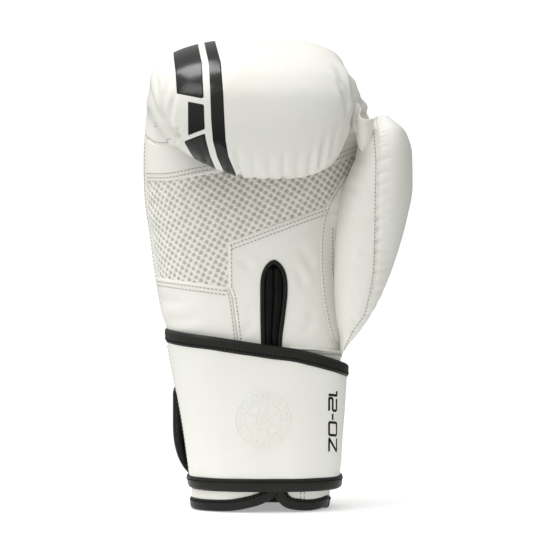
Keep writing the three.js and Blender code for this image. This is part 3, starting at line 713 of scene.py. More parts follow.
WHITE = leather("white_leather", 0.78, 0.024, 0.5, 0.10)
WHITE_STRAP = leather("white_strap_leather", 0.755, 0.022, 0.5, 0.12)
WHITE_THUMB = leather("white_thumb_leather", 0.77, 0.024, 0.5, 0.10)
BLACK = leather("black_binding_leather", 0.019, 0.04, 0.40, 0.35, 0.25)
BLACK_ROLL = leather("black_slit_leather", 0.003, 0.02, 0.5, 0.4, 0.25)
INK = leather("black_ink", 0.006, 0.0, 0.45, 0.1, 0.1)
FILM = make_film()
MESH = make_mesh_cloth()
CLOTH = make_cloth("white_backing_cloth", 0.62, 300, 0.1)
LINING = make_cloth("black_lining_cloth", 0.03, 260)
PILE = make_pile("navy_loop_pile", (0.010, 0.008, 0.014), 0.35)
HOOK = make_pile("black_hook_tape", (0.006, 0.006, 0.007), 0.1)
FOAM = make_pile("grey_foam", (0.20, 0.21, 0.22), 0.1)
# Painted shade: the ivory thread keeps its own warm hue, but its tone is set at about half the leather's to
# stand in for the shade in and round the stitches.
THREAD = make_thread("ivory_thread_with_painted_shade", 0.40, 0.06)
BLACK_THREAD = make_thread("black_thread", 0.0008, 0.02, 0.05)


def stand_in(obj, *nodes):
    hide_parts(*nodes)


def ride_all(body, *objs):
    for obj in objs:
        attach(obj, body)


def stitches(name, surface, lines, seed=1, step=LINE_STEP, **view):
    """One object with rows of stitches along lines that are dropped on a surface, from the palm side if
    no other view is given."""
    parts = []
    for k, line in enumerate(lines):
        points, out = surface.seen(resample(line, step), **view)
        if len(points) > 3:
            parts.append(thread(points, level_out(out), seed=seed + k))
    return build(name, skin(*merge(parts)), THREAD)


def beside(line, gap):
    """The line moved to its left by a gap."""
    line = smooth_line(line, 1.5)
    d = unit(np.gradient(line, axis=0))
    return line + gap * np.stack([-d[:, 1], d[:, 0]], 1)


# ------------------------------------------------------------------ relief: folds and puckers, [x, z]


def fold(p, line, depth, width, fade=(0.15, 0.85), swell=0.0):
    """A fold along a line: a soft valley, with a low swelling on either side, dying out at its ends."""
    curve = smooth_line(line, 1.0)
    gap, _, along = line_distance(p[:, [0, 2]], curve)
    f = along / np.linalg.norm(np.diff(curve, axis=0), axis=1).sum()
    ends = ease(f / max(fade[0], 1e-3)) * ease((1 - f) / max(1 - fade[1], 1e-3))
    beyond = np.exp(-((np.maximum(gap - 3 * width, 0)) / width) ** 2)
    return ends * beyond * (-depth * valley(gap, width) + swell * valley(gap - 2.2 * width, width))


def folds(p, table, fade, swell):
    """The sum of folds listed as (line, depth, width); swell is a share of the depth."""
    total = np.zeros(len(p))
    for line, depth, width in table:
        total += fold(p, line, depth, width, fade, swell * depth)
    return total


PLEAT_FOOT = (-52.6, 233.3)
PLEATS = [
    ([PLEAT_FOOT, (-60, 240.5), (-67.5, 254), (-72.4, 276)], 2.4, 1.8),
    ([PLEAT_FOOT, (-59, 241), (-64, 255), (-65.5, 278)], 2.0, 1.7),
    ([PLEAT_FOOT, (-58.5, 243), (-60.5, 256), (-57.5, 275)], 1.7, 1.7),
    ([PLEAT_FOOT, (-56, 242), (-55.5, 252), (-52.5, 265)], 1.1, 1.5),
    ([(-51.8, 240), (-50.4, 228)], 1.6, 1.5),
]
FIST_GATHERS = [(-13.5, 211, 1.9), (13.5, 209, 1.2), (36.5, 218, 1.9), (50.6, 233, 1.2), (53.8, 240, 0.9),
                (-3.8, 209, 0.7),
                (5.1, 209, 0.8), (21.8, 210, 0.7), (29.5, 213, 0.9), (43.6, 225, 0.9), (-24, 214, 0.6),
                (-34, 219, 0.6)]
SIDE_FOLDS = [
    ([(47.4, 290.4), (56.4, 274.4), (57.7, 253.8)], 1.6, 1.9),
    ([(43.6, 280.8), (52.6, 267.9), (55.1, 248.7)], 1.3, 1.8),
    ([(50, 264.7), (53.2, 256.4), (53.2, 245.5)], 1.2, 1.5),
    ([(46, 273), (50.0, 263), (51.0, 250)], 0.8, 1.5),
]
BACK_FOLDS = [
    ([(56.5, 283), (60.3, 271.8), (64.1, 261.5), (62.8, 251.9)], 1.9, 1.7),
    ([(61.5, 276), (64.1, 267.9), (69.2, 258.3), (66.7, 247.4)], 1.9, 1.6),
    ([(66, 268), (70.5, 259.6), (71.8, 251.9), (67.9, 244.2)], 1.6, 1.5),
]
FIST_CREASE = [(50.5, 291.5), (54.0, 286), (58.2, 272), (59.0, 254), (56.2, 239)]
WRIST_SEAM = [(-74, 158), (-58, 139), (-30, 125), (0, 121), (26, 126), (44, 137), (60, 152)]
BACK_SOFT = [
    ([(-60, 250), (-52, 262), (-50, 280)], 0.8, 3.2),
    ([(52, 246), (46, 262), (44, 280)], 0.8, 3.2),
    ([(-30, 130), (-26, 146), (-27, 165)], 0.6, 3.4),
    ([(18, 128), (15, 145), (17, 168)], 0.6, 3.4),
    ([(-8, 124), (-7, 140), (-10, 156)], 0.5, 3.0),
]


def shell_relief(p, n):
    front = ease((0.55 - n[:, 1]) / 0.4)
    on_fist = ease((2 - fist.outside(p)) / 2)
    relief = folds(p, PLEATS, (0.02, 0.6), 0.3)
    relief += on_fist * folds(p, SIDE_FOLDS, (0.3, 0.8), 0.25)
    relief += (1 - on_fist) * folds(p, BACK_FOLDS, (0.3, 0.8), 0.3)
    for x, z, depth in FIST_GATHERS:
        rise = p[:, 2] - z
        lean = x + 0.12 * (x - 8) * rise / 20
        width = 1.3 + 0.05 * np.clip(rise, 0, 30)
        fade = ease((21 - rise) / 16) * ease((rise + 4) / 4)
        relief -= on_fist * depth * valley(p[:, 0] - lean, width) * fade
        relief += on_fist * 0.3 * depth * valley(np.abs(p[:, 0] - lean) - 2.6, 1.6) * fade
    relief += fold(p, FIST_CREASE, 1.3, 1.7, (0.15, 0.9), 0.5)
    seam = folds(p, BACK_SOFT, (0.3, 0.5), 0.4)
    gap, _, _ = line_distance(p[:, [0, 2]], smooth_line(WRIST_SEAM))
    seam += 0.35 - 1.5 * valley(gap, 1.5) - 0.5 * valley(gap, 6)
    return relief * front + seam * ease((n[:, 1] - 0.1) / 0.3)


# ------------------------------------------------------------------ shell over fist and back of the hand


def union_skin(voxel):
    """The hand and the rolled fist as one smooth skin."""
    upper = []
    parts = []
    for loft, sides, rows in ((hand, 150, 190), (fist, 130, 90)):
        points, faces = loft.dome(sides, rows)
        parts.append((points, faces))
        upper.append(points[points[:, 2] > ROLL_Z])
    bm = bmesh.new()
    for q in np.vstack(upper):
        bm.verts.new(q)
    hull = bmesh.ops.convex_hull(bm, input=bm.verts)
    kept = {f for f in hull["geom"] if isinstance(f, bmesh.types.BMFace)}
    bmesh.ops.triangulate(bm, faces=list(kept))
    bm.verts.index_update()
    points = np.array([v.co for v in bm.verts])
    parts.append((points, [[v.index for v in f.verts] for f in bm.faces]))
    bm.free()
    points, faces = merge(parts)
    mesh = bpy.data.meshes.new("union")
    mesh.from_pydata(points.tolist(), [], faces.tolist())
    obj = link("union", mesh)
    remesh = obj.modifiers.new("remesh", "REMESH")
    remesh.mode = "VOXEL"
    remesh.voxel_size = voxel
    made = obj.evaluated_get(bpy.context.evaluated_depsgraph_get())
    result = made.to_mesh()
    result.calc_loop_triangles()
    p = np.zeros(len(result.vertices) * 3)
    result.vertices.foreach_get("co", p)
    f = np.zeros(len(result.loop_triangles) * 3, int)
    result.loop_triangles.foreach_get("vertices", f)
    made.to_mesh_clear()
    bpy.data.objects.remove(obj)
    bpy.data.meshes.remove(mesh)
    return skin(p.reshape(-1, 3), f.reshape(-1, 3))


def relax(s, passes, share=0.5):
    """Smooths a skin by moving each point towards the middle of its neighbours."""
    e = np.vstack([s["F"][:, [0, 1]], s["F"][:, [1, 2]], s["F"][:, [2, 0]]])
    e = np.unique(np.sort(e, 1), axis=0)
    a, b = np.concatenate([e[:, 0], e[:, 1]]), np.concatenate([e[:, 1], e[:, 0]])
    count = np.bincount(a, minlength=len(s["P"]))[:, None]
    p = s["P"]
    for _ in range(passes):
        total = np.stack([np.bincount(a, p[b, k], len(p)) for k in range(3)], 1)
        p = p + share * (total / np.maximum(count, 1) - p)
    s["P"] = p
    return s


def below_fist(p):
    """How far points are below the fist's lower edge."""
    return np.interp(p[:, 0], *np.array(PILLOW_EDGE, float).T) - p[:, 2]


VOXEL = 1.4
body = relax(union_skin(VOXEL), 24)
body_normal = normals(body)
body["N"] = body_normal
on_palm = np.minimum(SIDE_SEAM_Y - body["P"][:, 1], fist.outside(body["P"]) - 1.6)
body["keep"] = np.minimum(-np.minimum(on_palm, below_fist(body["P"])), body["P"][:, 2] - WRIST_Z + 1.0)
body["P"] = body["P"] + body_normal * shell_relief(body["P"], body_normal)[:, None]
shell = cut(body, "keep", 0.0, ((0.6, 1.6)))
shell_shape = dict(shell)
shell["P"] = shell["P"] + shell["N"] * rounded_edge(shell["keep"], 1.6, 0.9)[:, None]
shell_surface = Surface(shell)
shell_obj = build("knuckle_shell_leather", skirt(shell, 2.2, shell["N"]), WHITE)
ride_all("hand_body", shell_obj)
stand_in(shell_obj, "knuckle_shell", "fist_foam", "back_of_hand_foam")

# The pillow's seam, a short inner row, and the side seams.
PILLOW_ARC = [(-75.5, 240.0), (-72.6, 237.2), (-69.3, 235.0), (-64.5, 233.6), (-56.0, 233.8)]
SHORT_ROW = [(-69.2, 244.6), (-65.4, 244.0)]
ride_all("hand_body", stitches("pillow_seam_stitches", shell_surface, [PILLOW_ARC, SHORT_ROW]))


def side_row(name, y, sign, seed):
    """A row of stitches that runs up one side of the shell, seen along X."""
    line = [(y, z) for z in np.arange(99, 236, 1.0)]
    return stitches(name, shell_surface, [line], seed=seed, step=1.0, axis=0, sign=sign,
                    start=-200.0 * sign)


ride_all(
    "hand_body",
    side_row("pinky_side_seam_stitches", SIDE_SEAM_Y + 2.4, 1, 40),
    side_row("thumb_side_seam_stitches", SIDE_SEAM_Y + 12, -1, 40),
    stitches("back_seam_stitches", shell_surface, [beside(WRIST_SEAM, 2.6), beside(WRIST_SEAM, -2.6)],
             seed=90, sign=-1, start=220.0),
)

# ------------------------------------------------------------------ film stripes on the fist

NARROW_LEFT = [(-36.6, 296.7), (-32.4, 279.0), (-31.4, 261.0), (-30.8, 244.3), (-29.8, 231.5),
               (-27.1, 221.4), (-23.5, 213.5)]
NARROW_RIGHT = [(-29.7, 297.6), (-25.1, 280.4), (-23.4, 261.0), (-22.6, 244.3), (-21.9, 231.5),
                (-20.3, 222.1), (-16.0, 212.0)]
BAND_LEFT = [(-55.9, 290.2), (-53.3, 275.0), (-52.0, 259.5), (-45.4, 257.5), (-45.1, 254.0), (-45.1, 235.5),
             (-47.2, 232.5),
             (-47.4, 230.8), (-43.5, 224.0), (-37.8, 215.4)]
BAND_RIGHT = [(-40.5, 295.9), (-36.9, 280.4), (-35.3, 256.9), (-35.0, 244.4), (-34.3, 232.9),
              (-31.7, 222.9), (-28.1, 214.0)]
BREAKS = [(257.4, 3.6, -0.22), (234.2, 2.6, 0.35)]  # height, width and slope of each gap
STRIPE_TOP = 296.0  # where the stripes turn over the knuckles
STRIPE_END = 352.0  # how far they run, measured over the top


def over_top(p):
    """Height up the front, carried on over the top and down the back."""
    ridge = np.interp(p[:, 0], [-75, -40, 0, 40, 75], [0, 0, 2, 0, 0])
    return np.where(p[:, 1] < ridge, p[:, 2], 600 - p[:, 2])


def stripe(name, left, right, gaps):
    s = {k: v for k, v in shell_shape.items() if k != "keep"}
    up = over_top(s["P"])
    lo, ro = np.array(left), np.array(right)
    lean = 0.12 * np.maximum(up - STRIPE_TOP, 0)
    left_x = np.interp(up, lo[::-1, 1], lo[::-1, 0]) - lean
    right_x = np.interp(up, ro[::-1, 1], ro[::-1, 0]) - lean
    d = np.minimum(s["P"][:, 0] - left_x, right_x - s["P"][:, 0])
    d = np.minimum(d, STRIPE_END - up + 0.35 * s["P"][:, 0])
    for z, tall, slope in gaps:
        middle = z + slope * (s["P"][:, 0] + 44)
        d = np.minimum(d, np.abs(up - middle) - tall / 2)
    s["keep"] = np.minimum(d, shell_shape["keep"] - 0.8)
    s = cut(s, "keep", 0.0, (0.25, 0.7))
    s["P"] = s["P"] + s["N"] * (0.22 + rounded_edge(s["keep"], 0.5, 0.16))[:, None]
    obj = build(name, skirt(s, 0.5, s["N"]), FILM)
    ride_all("hand_body", obj)
    return obj


stripe("fist_stripe_narrow", NARROW_LEFT, NARROW_RIGHT, [])
stripe("fist_stripe_broken", BAND_LEFT, BAND_RIGHT, BREAKS)

# ------------------------------------------------------------------ palm panels
PALM_STEP = 1.15
SOFT_FOLD = ((0.4, 0.6), 0.4)  # how soft folds fade at their ends, and their swell
PALM_FOLDS = [
    ([(-80, 199), (-66, 193), (-52, 190)], 0.6, 3.0),
    ([(-82, 184), (-70, 178), (-58, 176)], 0.5, 3.0),
    ([(-76, 137), (-62, 133), (-46, 132)], 0.8, 3.2),
    ([(-66, 122), (-50, 121), (-34, 124)], 0.6, 3.0),
    ([(-20, 128), (-12, 125), (-4, 127)], 0.6, 2.6),
    ([(-17, 160), (-10, 156), (-5, 150)], 0.8, 2.4),
    ([(-15, 112), (-9, 116), (-4, 126)], 0.5, 2.4),
    ([(18, 155), (24, 149), (27, 138)], 0.9, 2.4),
    ([(21, 168), (29, 160), (33, 148)], 0.7, 2.8),
    ([(16, 168), (24, 176), (33, 180)], 0.6, 2.6),
    ([(18, 120), (28, 116), (38, 117)], 0.6, 2.8),
    ([(24, 108), (30, 118), (32, 132)], 0.7, 2.8),
    ([(38, 196), (43, 200), (50, 203)], 0.8, 1.6),
    ([(38, 186), (44, 190), (52, 192)], 0.6, 1.6),
]


def palm_base():
    low, high = 88, 254
    turn = np.linspace(166, 374, int(200 / PALM_STEP))
    z = np.linspace(low, high, int((high - low) / PALM_STEP))
    s = grid_skin(hand.point(turn[None, :], z[:, None]))
    s["N"] = normals(s)
    relief = folds(s["P"], PALM_FOLDS, *SOFT_FOLD)
    s["P"] = s["P"] + s["N"] * (relief - 0.8)[:, None]
    return s


palm = palm_base()
palm_flat = palm["P"][:, [0, 2]]
to_side = SIDE_SEAM_Y - 0.4 - palm["P"][:, 1]


SLOT_HALF = [(86, 6.2), (108, 6.7), (122, 7.7), (135, 8.5), (143, 8.6), (148, 8.1), (152, 7.0), (155, 5.4),
             (157, 3.7), (158.3, 1.9)]


def slot_middle(z):
    """The slit leans a little towards the little finger below its middle."""
    return 7.6 - 1.5 * ease((140 - z) / 34)


def slot_line(inset):
    """The slit's outline, from its left foot over the top to its right foot."""
    left = [(slot_middle(z) - h, z) for z, h in SLOT_HALF]
    right = [(slot_middle(z) + h, z) for z, h in SLOT_HALF[::-1]]
    return beside(left + [(7.7, 158.9)] + right, -inset)


def panel(name, field, lift, material, nodes, thick=2.0, radius=1.5, drop=1.0, base=None,
          body_name="hand_body"):
    """A leather panel: the part of the base where the field is positive, its edge rolled down."""
    s = dict(base or palm)
    s["edge"] = field
    s = cut(s, "edge", 0.0, EDGE_ROWS)
    s["N"] = unit(s["N"])
    s["P"] = s["P"] + s["N"] * (lift + rounded_edge(s["edge"], radius, drop))[:, None]
    obj = build(name, skirt(s, thick, s["N"]), material)
    ride_all(body_name, obj)
    stand_in(obj, *nodes)
    return s


band_field = np.minimum(inside(palm_flat, BAND_EDGE + [(95, 252), (-95, 252)]), to_side)
band_field = np.minimum(band_field, below_fist(palm["P"]) + 1.0)
band = panel("palm_top_band_leather", band_field, 0.9, WHITE, ["palm_top_band"])

heel_outline = MESH_FOOT[:-1] + [(-22.2, 141.9)] + [(x - 0.05, z) for x, z in HEEL_SEAM] + [(-95, 88)]
heel_field = np.minimum(inside(palm_flat, heel_outline), to_side)
heel = panel("pinky_heel_leather", heel_field, 0.9, WHITE, ["pinky_heel_panel"])

web_left = smooth_line(WEB_LEFT, 2.0)
palm_outline = [(-21.5, 88)] + [(x + 0.05, z) for x, z in HEEL_SEAM[::-1]] + MESH_DIAGONAL[:2]
palm_outline += [(x + 1.6, z) for x, z in web_left if z < 196] + [(52, 88)]
palm_field = inside(palm_flat, palm_outline)
slot_field = inside(palm_flat, slot_line(1.2))
palm_field = np.minimum(palm_field, np.where(palm["P"][:, 1] < 0, -slot_field, 1))
palm_skin = panel("palm_thumb_side_leather", palm_field, 0.9, WHITE, ["palm_thumb_panel"])

backing = dict(palm)
backing["edge"] = np.minimum(np.where(palm["P"][:, 1] < 0, -inside(palm_flat, slot_line(0.4)), 1), to_side)
backing = cut(backing, "edge")
backing["P"] = backing["P"] - backing["N"] * 2.0
backing_obj = build("palm_padding_cloth", backing, CLOTH)
ride_all("hand_body", backing_obj)
stand_in(backing_obj, "palm_foam")

web_base = dict(palm)
web_lift = 5.0 * ease((palm["P"][:, 0] - 41) / 12) * ease((palm["P"][:, 2] - 97) / 14) * ease((214
        - palm["P"][:, 2]) / 24)
web_base["P"] = palm["P"] + palm["N"] * web_lift[:, None]
web_outline = [tuple(q) for q in web_left] + [(78, 88), (78, 214)]
web_field = np.minimum(inside(palm_flat, web_outline), to_side + 6)
web = panel("thumb_web_leather", web_field, 1.5, WHITE, ["thumb_web_strip"], base=web_base)

# Spacer mesh: round holes on a slanting lattice, sunk under the leather edges round it.
HOLE_PITCH = 3.8
HOLE_RADIUS = 1.28
ALONG_A = math.radians(-31)
ALONG_B = math.radians(-116)


def mesh_panel():
    step = 0.5
    turn = np.linspace(166, 372, int(190 / step))
    z = np.linspace(139, 234, int(95 / step))
    grid = hand.point(turn[None, :], z[:, None])
    around = np.linalg.norm(np.diff(grid, axis=1), axis=2)
    run = np.concatenate([np.zeros((len(z), 1)), np.cumsum(around, axis=1)], 1)
    middle = np.abs(turn - 270).argmin()
    s = grid_skin(grid, run=run - run[:, middle:middle + 1])
    s["N"] = normals(s)
    lattice = np.array([[math.cos(ALONG_A), math.cos(ALONG_B)],
                        [math.sin(ALONG_A), math.sin(ALONG_B)]]) * HOLE_PITCH
    flat = np.stack([s["run"], s["P"][:, 2]], 1)
    cell = np.linalg.solve(lattice, flat.T).T
    off = (cell - np.round(cell)) @ lattice.T
    near = np.hypot(*off.T)
    wobble = 0.12 * np.sin(cell[:, 0] * 1.7 + 2.1 * np.sin(cell[:, 1] * 0.9))
    hole = ease((HOLE_RADIUS + wobble + 0.45 - near) / 0.75)
    strands = 0.16 * np.cos(2 * math.pi * cell[:, 0]) * np.cos(2 * math.pi * cell[:, 1])
    relief = folds(s["P"], PALM_FOLDS, *SOFT_FOLD)
    s["P"] = s["P"] + s["N"] * (relief - 0.75 - 0.6 * hole + strands)[:, None]
    # The hole mask sinks each hole a little and also darkens it in the material: a real dent, and painted
    # shade in the hole.
    s["hole"] = hole
    outline = [(-95, 213), (-95, 149), (-67.9, 145.8), (-19.5, 139.5), (-19.5, 168.5), (44, 192.2),
               (54, 200), (68, 206), (68, 233), (46, 223), (-95, 223)]
    s["edge"] = np.minimum(inside(s["P"][:, [0, 2]], outline), SIDE_SEAM_Y + 0.5 - s["P"][:, 1])
    s = cut(s, "edge")
    obj = build("palm_spacer_mesh", s, MESH, hole=s["hole"])
    ride_all("hand_body", obj)
    stand_in(obj, "palm_mesh_panel")


mesh_panel()

band_surface, heel_surface = Surface(band), Surface(heel)
palm_surface, web_surface = Surface(palm_skin), Surface(web)
ride_all(
    "hand_body",
    stitches("band_stitches", band_surface, [beside(BAND_EDGE, 2.4), beside(BAND_EDGE, 5.0)], seed=3),
    stitches("heel_stitches", heel_surface, [
        beside(MESH_FOOT, -2.4), beside(MESH_FOOT, -5.0), beside(HEEL_SEAM, -1.9)], seed=5),
    stitches("palm_stitches", palm_surface, [
        beside(MESH_DIAGONAL[:2], -2.4), beside(MESH_DIAGONAL[:2], -5.0),
        beside([(-21.5, 169.0), (-21.3, 142)], 2.4),
        beside(HEEL_SEAM, 1.9)], seed=9),
    stitches("web_stitches", web_surface, [
        beside(WEB_LEFT, 1.7), [(44.9, 179.5), (44.9, 155.1), (47.9, 127.6), (49.2, 112.2)]], seed=14),
)

# The wrist seam's folded edge on the thumb side, with its row of stitches.
seam_run = np.linspace(296, 364, 90)
seam_z = np.interp(seam_run, [296, 318, 334, 364], [103.2, 102.6, 101.2, 99.5])
at = hand.wrap(seam_run, seam_z)
out = hand.wrap(seam_run, seam_z + 1) * [1, 1, 0] - [0, -2.0, 0]
out = unit(out)
roll = circle(12) * 0.9
roll_obj = build("wrist_seam_fold", skin(*tube(at + out * 0.9, out, roll)), WHITE)
roll_row = build("wrist_seam_stitches", skin(*thread(at + out * 0.65 - [0, 0, 2.2], out, seed=33)), THREAD)
ride_all("hand_body", roll_obj, roll_row)

# ------------------------------------------------------------------ palm slit


def half_roll(width, height, count=9):
    """A rounded band profile, [across, outwards]."""
    t = np.linspace(0, math.pi, count)
    top = np.stack([np.cos(t) * width / 2, np.sin(t) ** 0.8 * height], 1)
    return np.vstack([top, [[-width / 2, -1.6], [width / 2, -1.6]]])


hand_front = grid_skin(hand.point(np.linspace(180, 360, 240)[None, :], np.linspace(88, 250, 160)[:, None]))
front_surface = Surface(hand_front)


def on_front(line):
    points, out = front_surface.seen(resample(line, LINE_STEP))
    return points, level_out(out)


slot = slot_line(1.3)
points, out = on_front(slot)
faces_of = tube(points, out, half_roll(2.7, 1.35))
binding_obj = build("slit_binding_leather", skin(*faces_of), BLACK)
stand_in(binding_obj, "slit_binding")
row = thread(points + out * 1.28, out, seed=21, radius=0.22)
row_obj = build("slit_binding_stitches", skin(*row), BLACK_THREAD)
ride_all("hand_body", binding_obj, row_obj)

for name, node, side in (("slit_roll_pinky_side", "slit_fold_pinky_side", -1),
                         ("slit_roll_thumb_side", "slit_fold_thumb_side", 1)):
    z = np.arange(90, 154, 0.8)
    room = np.interp(z, *np.array(SLOT_HALF).T) - 2.4
    middle = slot_middle(z) + side * (room / 2 + 0.1)
    points, out = on_front(np.stack([middle, z], 1))
    f = np.linspace(0, 1, len(points))
    wide = np.interp(points[:, 2], z, room / 2 + 0.35) * (1 + 0.04 * np.sin(f * 37 + side))
    t = np.arange(16) * 2 * math.pi / 16
    profile = np.stack([np.cos(t)[None, :] * wide[:, None],
                        np.sin(t)[None, :] * 2.4 - 2.3 + 0.2 * np.sin(f * 21 + side)[:, None]], 2)
    obj = build(name, skin(*tube(points, out, profile)), BLACK_ROLL)
    ride_all("hand_body", obj)
    stand_in(obj, node)
    if side == 1:
        obj = build("slit_roll_stitches", skin(*thread(points + out * 0.12, out, radius=0.2, seed=27)),
                    BLACK_THREAD)
        ride_all("hand_body", obj)

floor_line = np.stack([np.full(80, 7.0), np.linspace(90, 156, 80)], 1)
points, out = on_front(floor_line)
back_cloth = tube(points - out * 5.5, out, [(-7, -0.4), (-7, 0.4), (7, 0.4), (7, -0.4)])
back_obj = build("slit_backing_cloth", skin(*back_cloth), LINING)
ride_all("hand_body", back_obj)

# ------------------------------------------------------------------ thumb
THUMB_STEP = 0.95
PUCKERS = [(z, 0.55, 0.95) for z in (228, 231, 233.6, 236.5, 239, 241.8, 244.5, 247.2)]
PUCKERS += [(z, 0.9, 1.5) for z in (151.5, 157)] + [(z, 1.5, 1.6) for z in (163.5, 170, 177.5, 184)] + [(z,
        0.8, 1.4) for z in (191, 198, 205, 212, 220)]
PUCKERS += [(z, 0.35, 1.3) for z in (124.5, 131, 138.5, 145)]


# The leather's top lies lower than the padded body's: by this much, from this height on, over this height.
THUMB_TOP_DROP, THUMB_TOP_FROM, THUMB_TOP_OVER = 5.5, 236, 19
# Rows that close the thumb's top: share of the last ring's size, and rise.
THUMB_CROWN = [(0.93, 0.5), (0.82, 0.9), (0.66, 1.2), (0.46, 1.4), (0.24, 1.5), (0.004, 1.55)]


def thumb_base():
    rows = int(190 / THUMB_STEP)
    zt = np.interp(np.linspace(0, thumb.t[-1], rows), thumb.t, thumb.rows[:, 0])
    turn = np.linspace(180, 540, int(175 / THUMB_STEP) + 1)
    grid = thumb.point(turn[None, :], zt[:, None])
    middle = grid[-1].mean(0)
    crown = [middle + (grid[-1] - middle) * k + [0, 0, rise] for k, rise in THUMB_CROWN]
    grid = np.concatenate([grid, crown])
    rows += len(crown)
    grid[..., 2] -= THUMB_TOP_DROP * ease((grid[..., 2] - THUMB_TOP_FROM) / THUMB_TOP_OVER)
    s = grid_skin(grid)
    s["N"] = normals(s)
    around = s["N"].reshape(rows, -1, 3)
    around[:, 0] = around[:, -1] = (around[:, 0] + around[:, -1]) / 2
    s["N"] = unit(s["N"])
    return s


thumb_skin = thumb_base()
seam_line = smooth_line(THUMB_SEAM, 1.5)
gap, side, _ = line_distance(thumb_skin["P"][:, [0, 2]], seam_line)
from_seam = gap * side
clear_of_hand = np.minimum(hand.outside(thumb_skin["P"]), fist.outside(thumb_skin["P"])) + 1.2
flat = thumb_skin["P"]
pucker = np.zeros(len(flat))
for z, depth, width in PUCKERS:
    pucker -= depth * valley(flat[:, 2] - z + 0.3 * from_seam,
                             width) * ease((from_seam + 11) / 8) * (from_seam < 0.2)
pucker *= ease((0.5 - thumb_skin["N"][:, 1]) / 0.4)
crown = 2.0 * (1 - np.exp(np.minimum(from_seam, 0) / 6.0))
THUMB_FOLDS = [
    ([(49, 188), (56, 184), (62, 176)], 0.5, 2.0),
    ([(50, 206), (58, 203), (66, 196)], 0.5, 2.2),
    ([(52, 160), (58, 158), (64, 153)], 0.45, 2.2),
    ([(51, 140), (57, 137), (62, 134)], 0.45, 2.0),
    ([(53, 124), (57, 122), (61, 120)], 0.5, 1.6),
    ([(52, 117), (56, 115), (60, 114)], 0.5, 1.4),
    ([(60, 182), (66, 180), (71, 183)], 0.4, 1.8),
    ([(60, 166), (64, 163), (69, 165)], 0.4, 1.8),
    ([(54, 224), (62, 222), (68, 216)], 0.4, 2.0),
]
pucker += folds(flat, THUMB_FOLDS, *SOFT_FOLD) * (from_seam > 0)
outer_base = dict(thumb_skin)
outer_base["P"] = outer_base["P"] + outer_base["N"] * (pucker + crown - 0.2)[:, None]
inner_base = dict(thumb_skin)
inner_base["P"] = inner_base["P"] + inner_base["N"] * (pucker - 0.3)[:, None]

panel("thumb_padded_leather", np.minimum(-from_seam - 0.2, clear_of_hand), 0.0, WHITE_THUMB,
      ["thumb_padded_shell", "thumb_foam"], thick=2.4, radius=3.0, drop=1.9, base=outer_base,
      body_name="thumb")
inner = panel("thumb_inner_leather", np.minimum(from_seam + 1.8, clear_of_hand), 0.0, WHITE,
              ["thumb_inner_panel"], radius=1.3, drop=0.8, base=inner_base, body_name="thumb")
ride_all("thumb", stitches("thumb_seam_stitches", Surface(inner), [beside(THUMB_SEAM, 1.1)], seed=31))

# The thumb lock: a short ribbon, slack, from the side of the fist to the thumb's tip.
LOCK = [  # x, y, height of the top edge and of the foot
    (51.5, -31.0, 255.5, 243), (55.0, -36.0, 256.4, 242), (57.5, -40.0, 256.6, 240),
        (60.0, -41.5, 257.0, 238),
    (61.6, -40.5, 255.0, 238), (61.6, -43.5, 252.5, 236), (60.6, -46.0, 250.2, 232),
        (61.8, -48.0, 247.6, 228),
    (64.3, -48.4, 246.2, 226), (66.6, -47.0, 246.4, 226), (68.2, -44.5, 247.0, 229),
        (69.2, -41.5, 247.2, 234),
]
LOCK_HALF = 0.7
LOCK_LEAN = 13.0  # how far the foot goes back into the thumb


def lock_ribbon():
    f = np.linspace(0, 1, 110)
    line = catmull(LOCK, f)
    plan, top, foot = line[:, :2], line[:, 2], line[:, 3]
    t = unit(np.gradient(plan, axis=0))
    n = np.stack([t[:, 1], -t[:, 0]], 1)
    front = ease((f - 0.35) / 0.25)
    rim_shape = [(0.0, 0.3), (0.02, 0.8), (0.08, 1.0), (0.3, 1.0), (0.6, 1.0), (0.9, 1.0), (0.97, 0.8),
                 (1.0, 0.35)]
    loops = []
    for v, half in rim_shape + [(v, -h) for v, h in rim_shape[::-1]]:
        belly = 0.8 * math.sin(math.pi * v)
        xy = plan + n * (half * LOCK_HALF + belly) + np.array([0, LOCK_LEAN]) * (1 - v) ** 1.5 * front[:,
                None]
        loops.append(np.column_stack([xy, foot + (top - foot) * v]))
    rings = np.stack(loops, 1)
    return rings.reshape(-1, 3), ring_faces(*rings.shape[:2])


lock_obj = build("thumb_lock_ribbon", skin(*lock_ribbon()), WHITE)
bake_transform(lock_obj)
stand_in(lock_obj, "thumb_lock_strap")

# ------------------------------------------------------------------ cuff back, flaps and their bindings
DEGREE = 0.66  # arc length of one degree round the cuff
CUFF_STEP = 1.3
CUFF_DEPTH = 9.3
CLOSE_Z = 104.0
LOW_Z = 50.0  # a rim line that ends below this ends at the panel's side


def cuff_base(low, high, offset=0.0):
    turn = np.linspace(low, high, int((high - low) * DEGREE / CUFF_STEP))
    z = np.linspace(1.0, 98.5, int(98 / CUFF_STEP))
    a, b = np.meshgrid(turn, z)
    grid = cuff.wrap(a, b)
    s = grid_skin(grid, arc=a * DEGREE, rise=b.copy())
    s["N"] = normals(s)
    s["P"] = s["P"] + s["N"] * offset
    return s


def rim_profile(depth, tall, lip=0.95, web=0.7):
    """A folded binding over a padded edge: [how far over the edge, outwards]."""
    return [
        (tall + 0.3, 0.1), (tall, lip * 0.8), (tall - 0.8, lip), (tall * 0.5, lip + 0.12), (1.6, lip),
        (0.4, lip * 0.7),
        (-web * 0.6, -0.5), (-web, -depth * 0.3), (-web, -depth * 0.7), (-web * 0.6, -depth + 0.5),
        (0.4, -depth - lip * 0.7),
        (1.6, -depth - lip), (tall * 0.5, -depth - lip - 0.12), (tall - 0.8, -depth - lip),
        (tall, -depth - lip * 0.8),
        (tall + 0.3, -depth - 0.1),
    ]


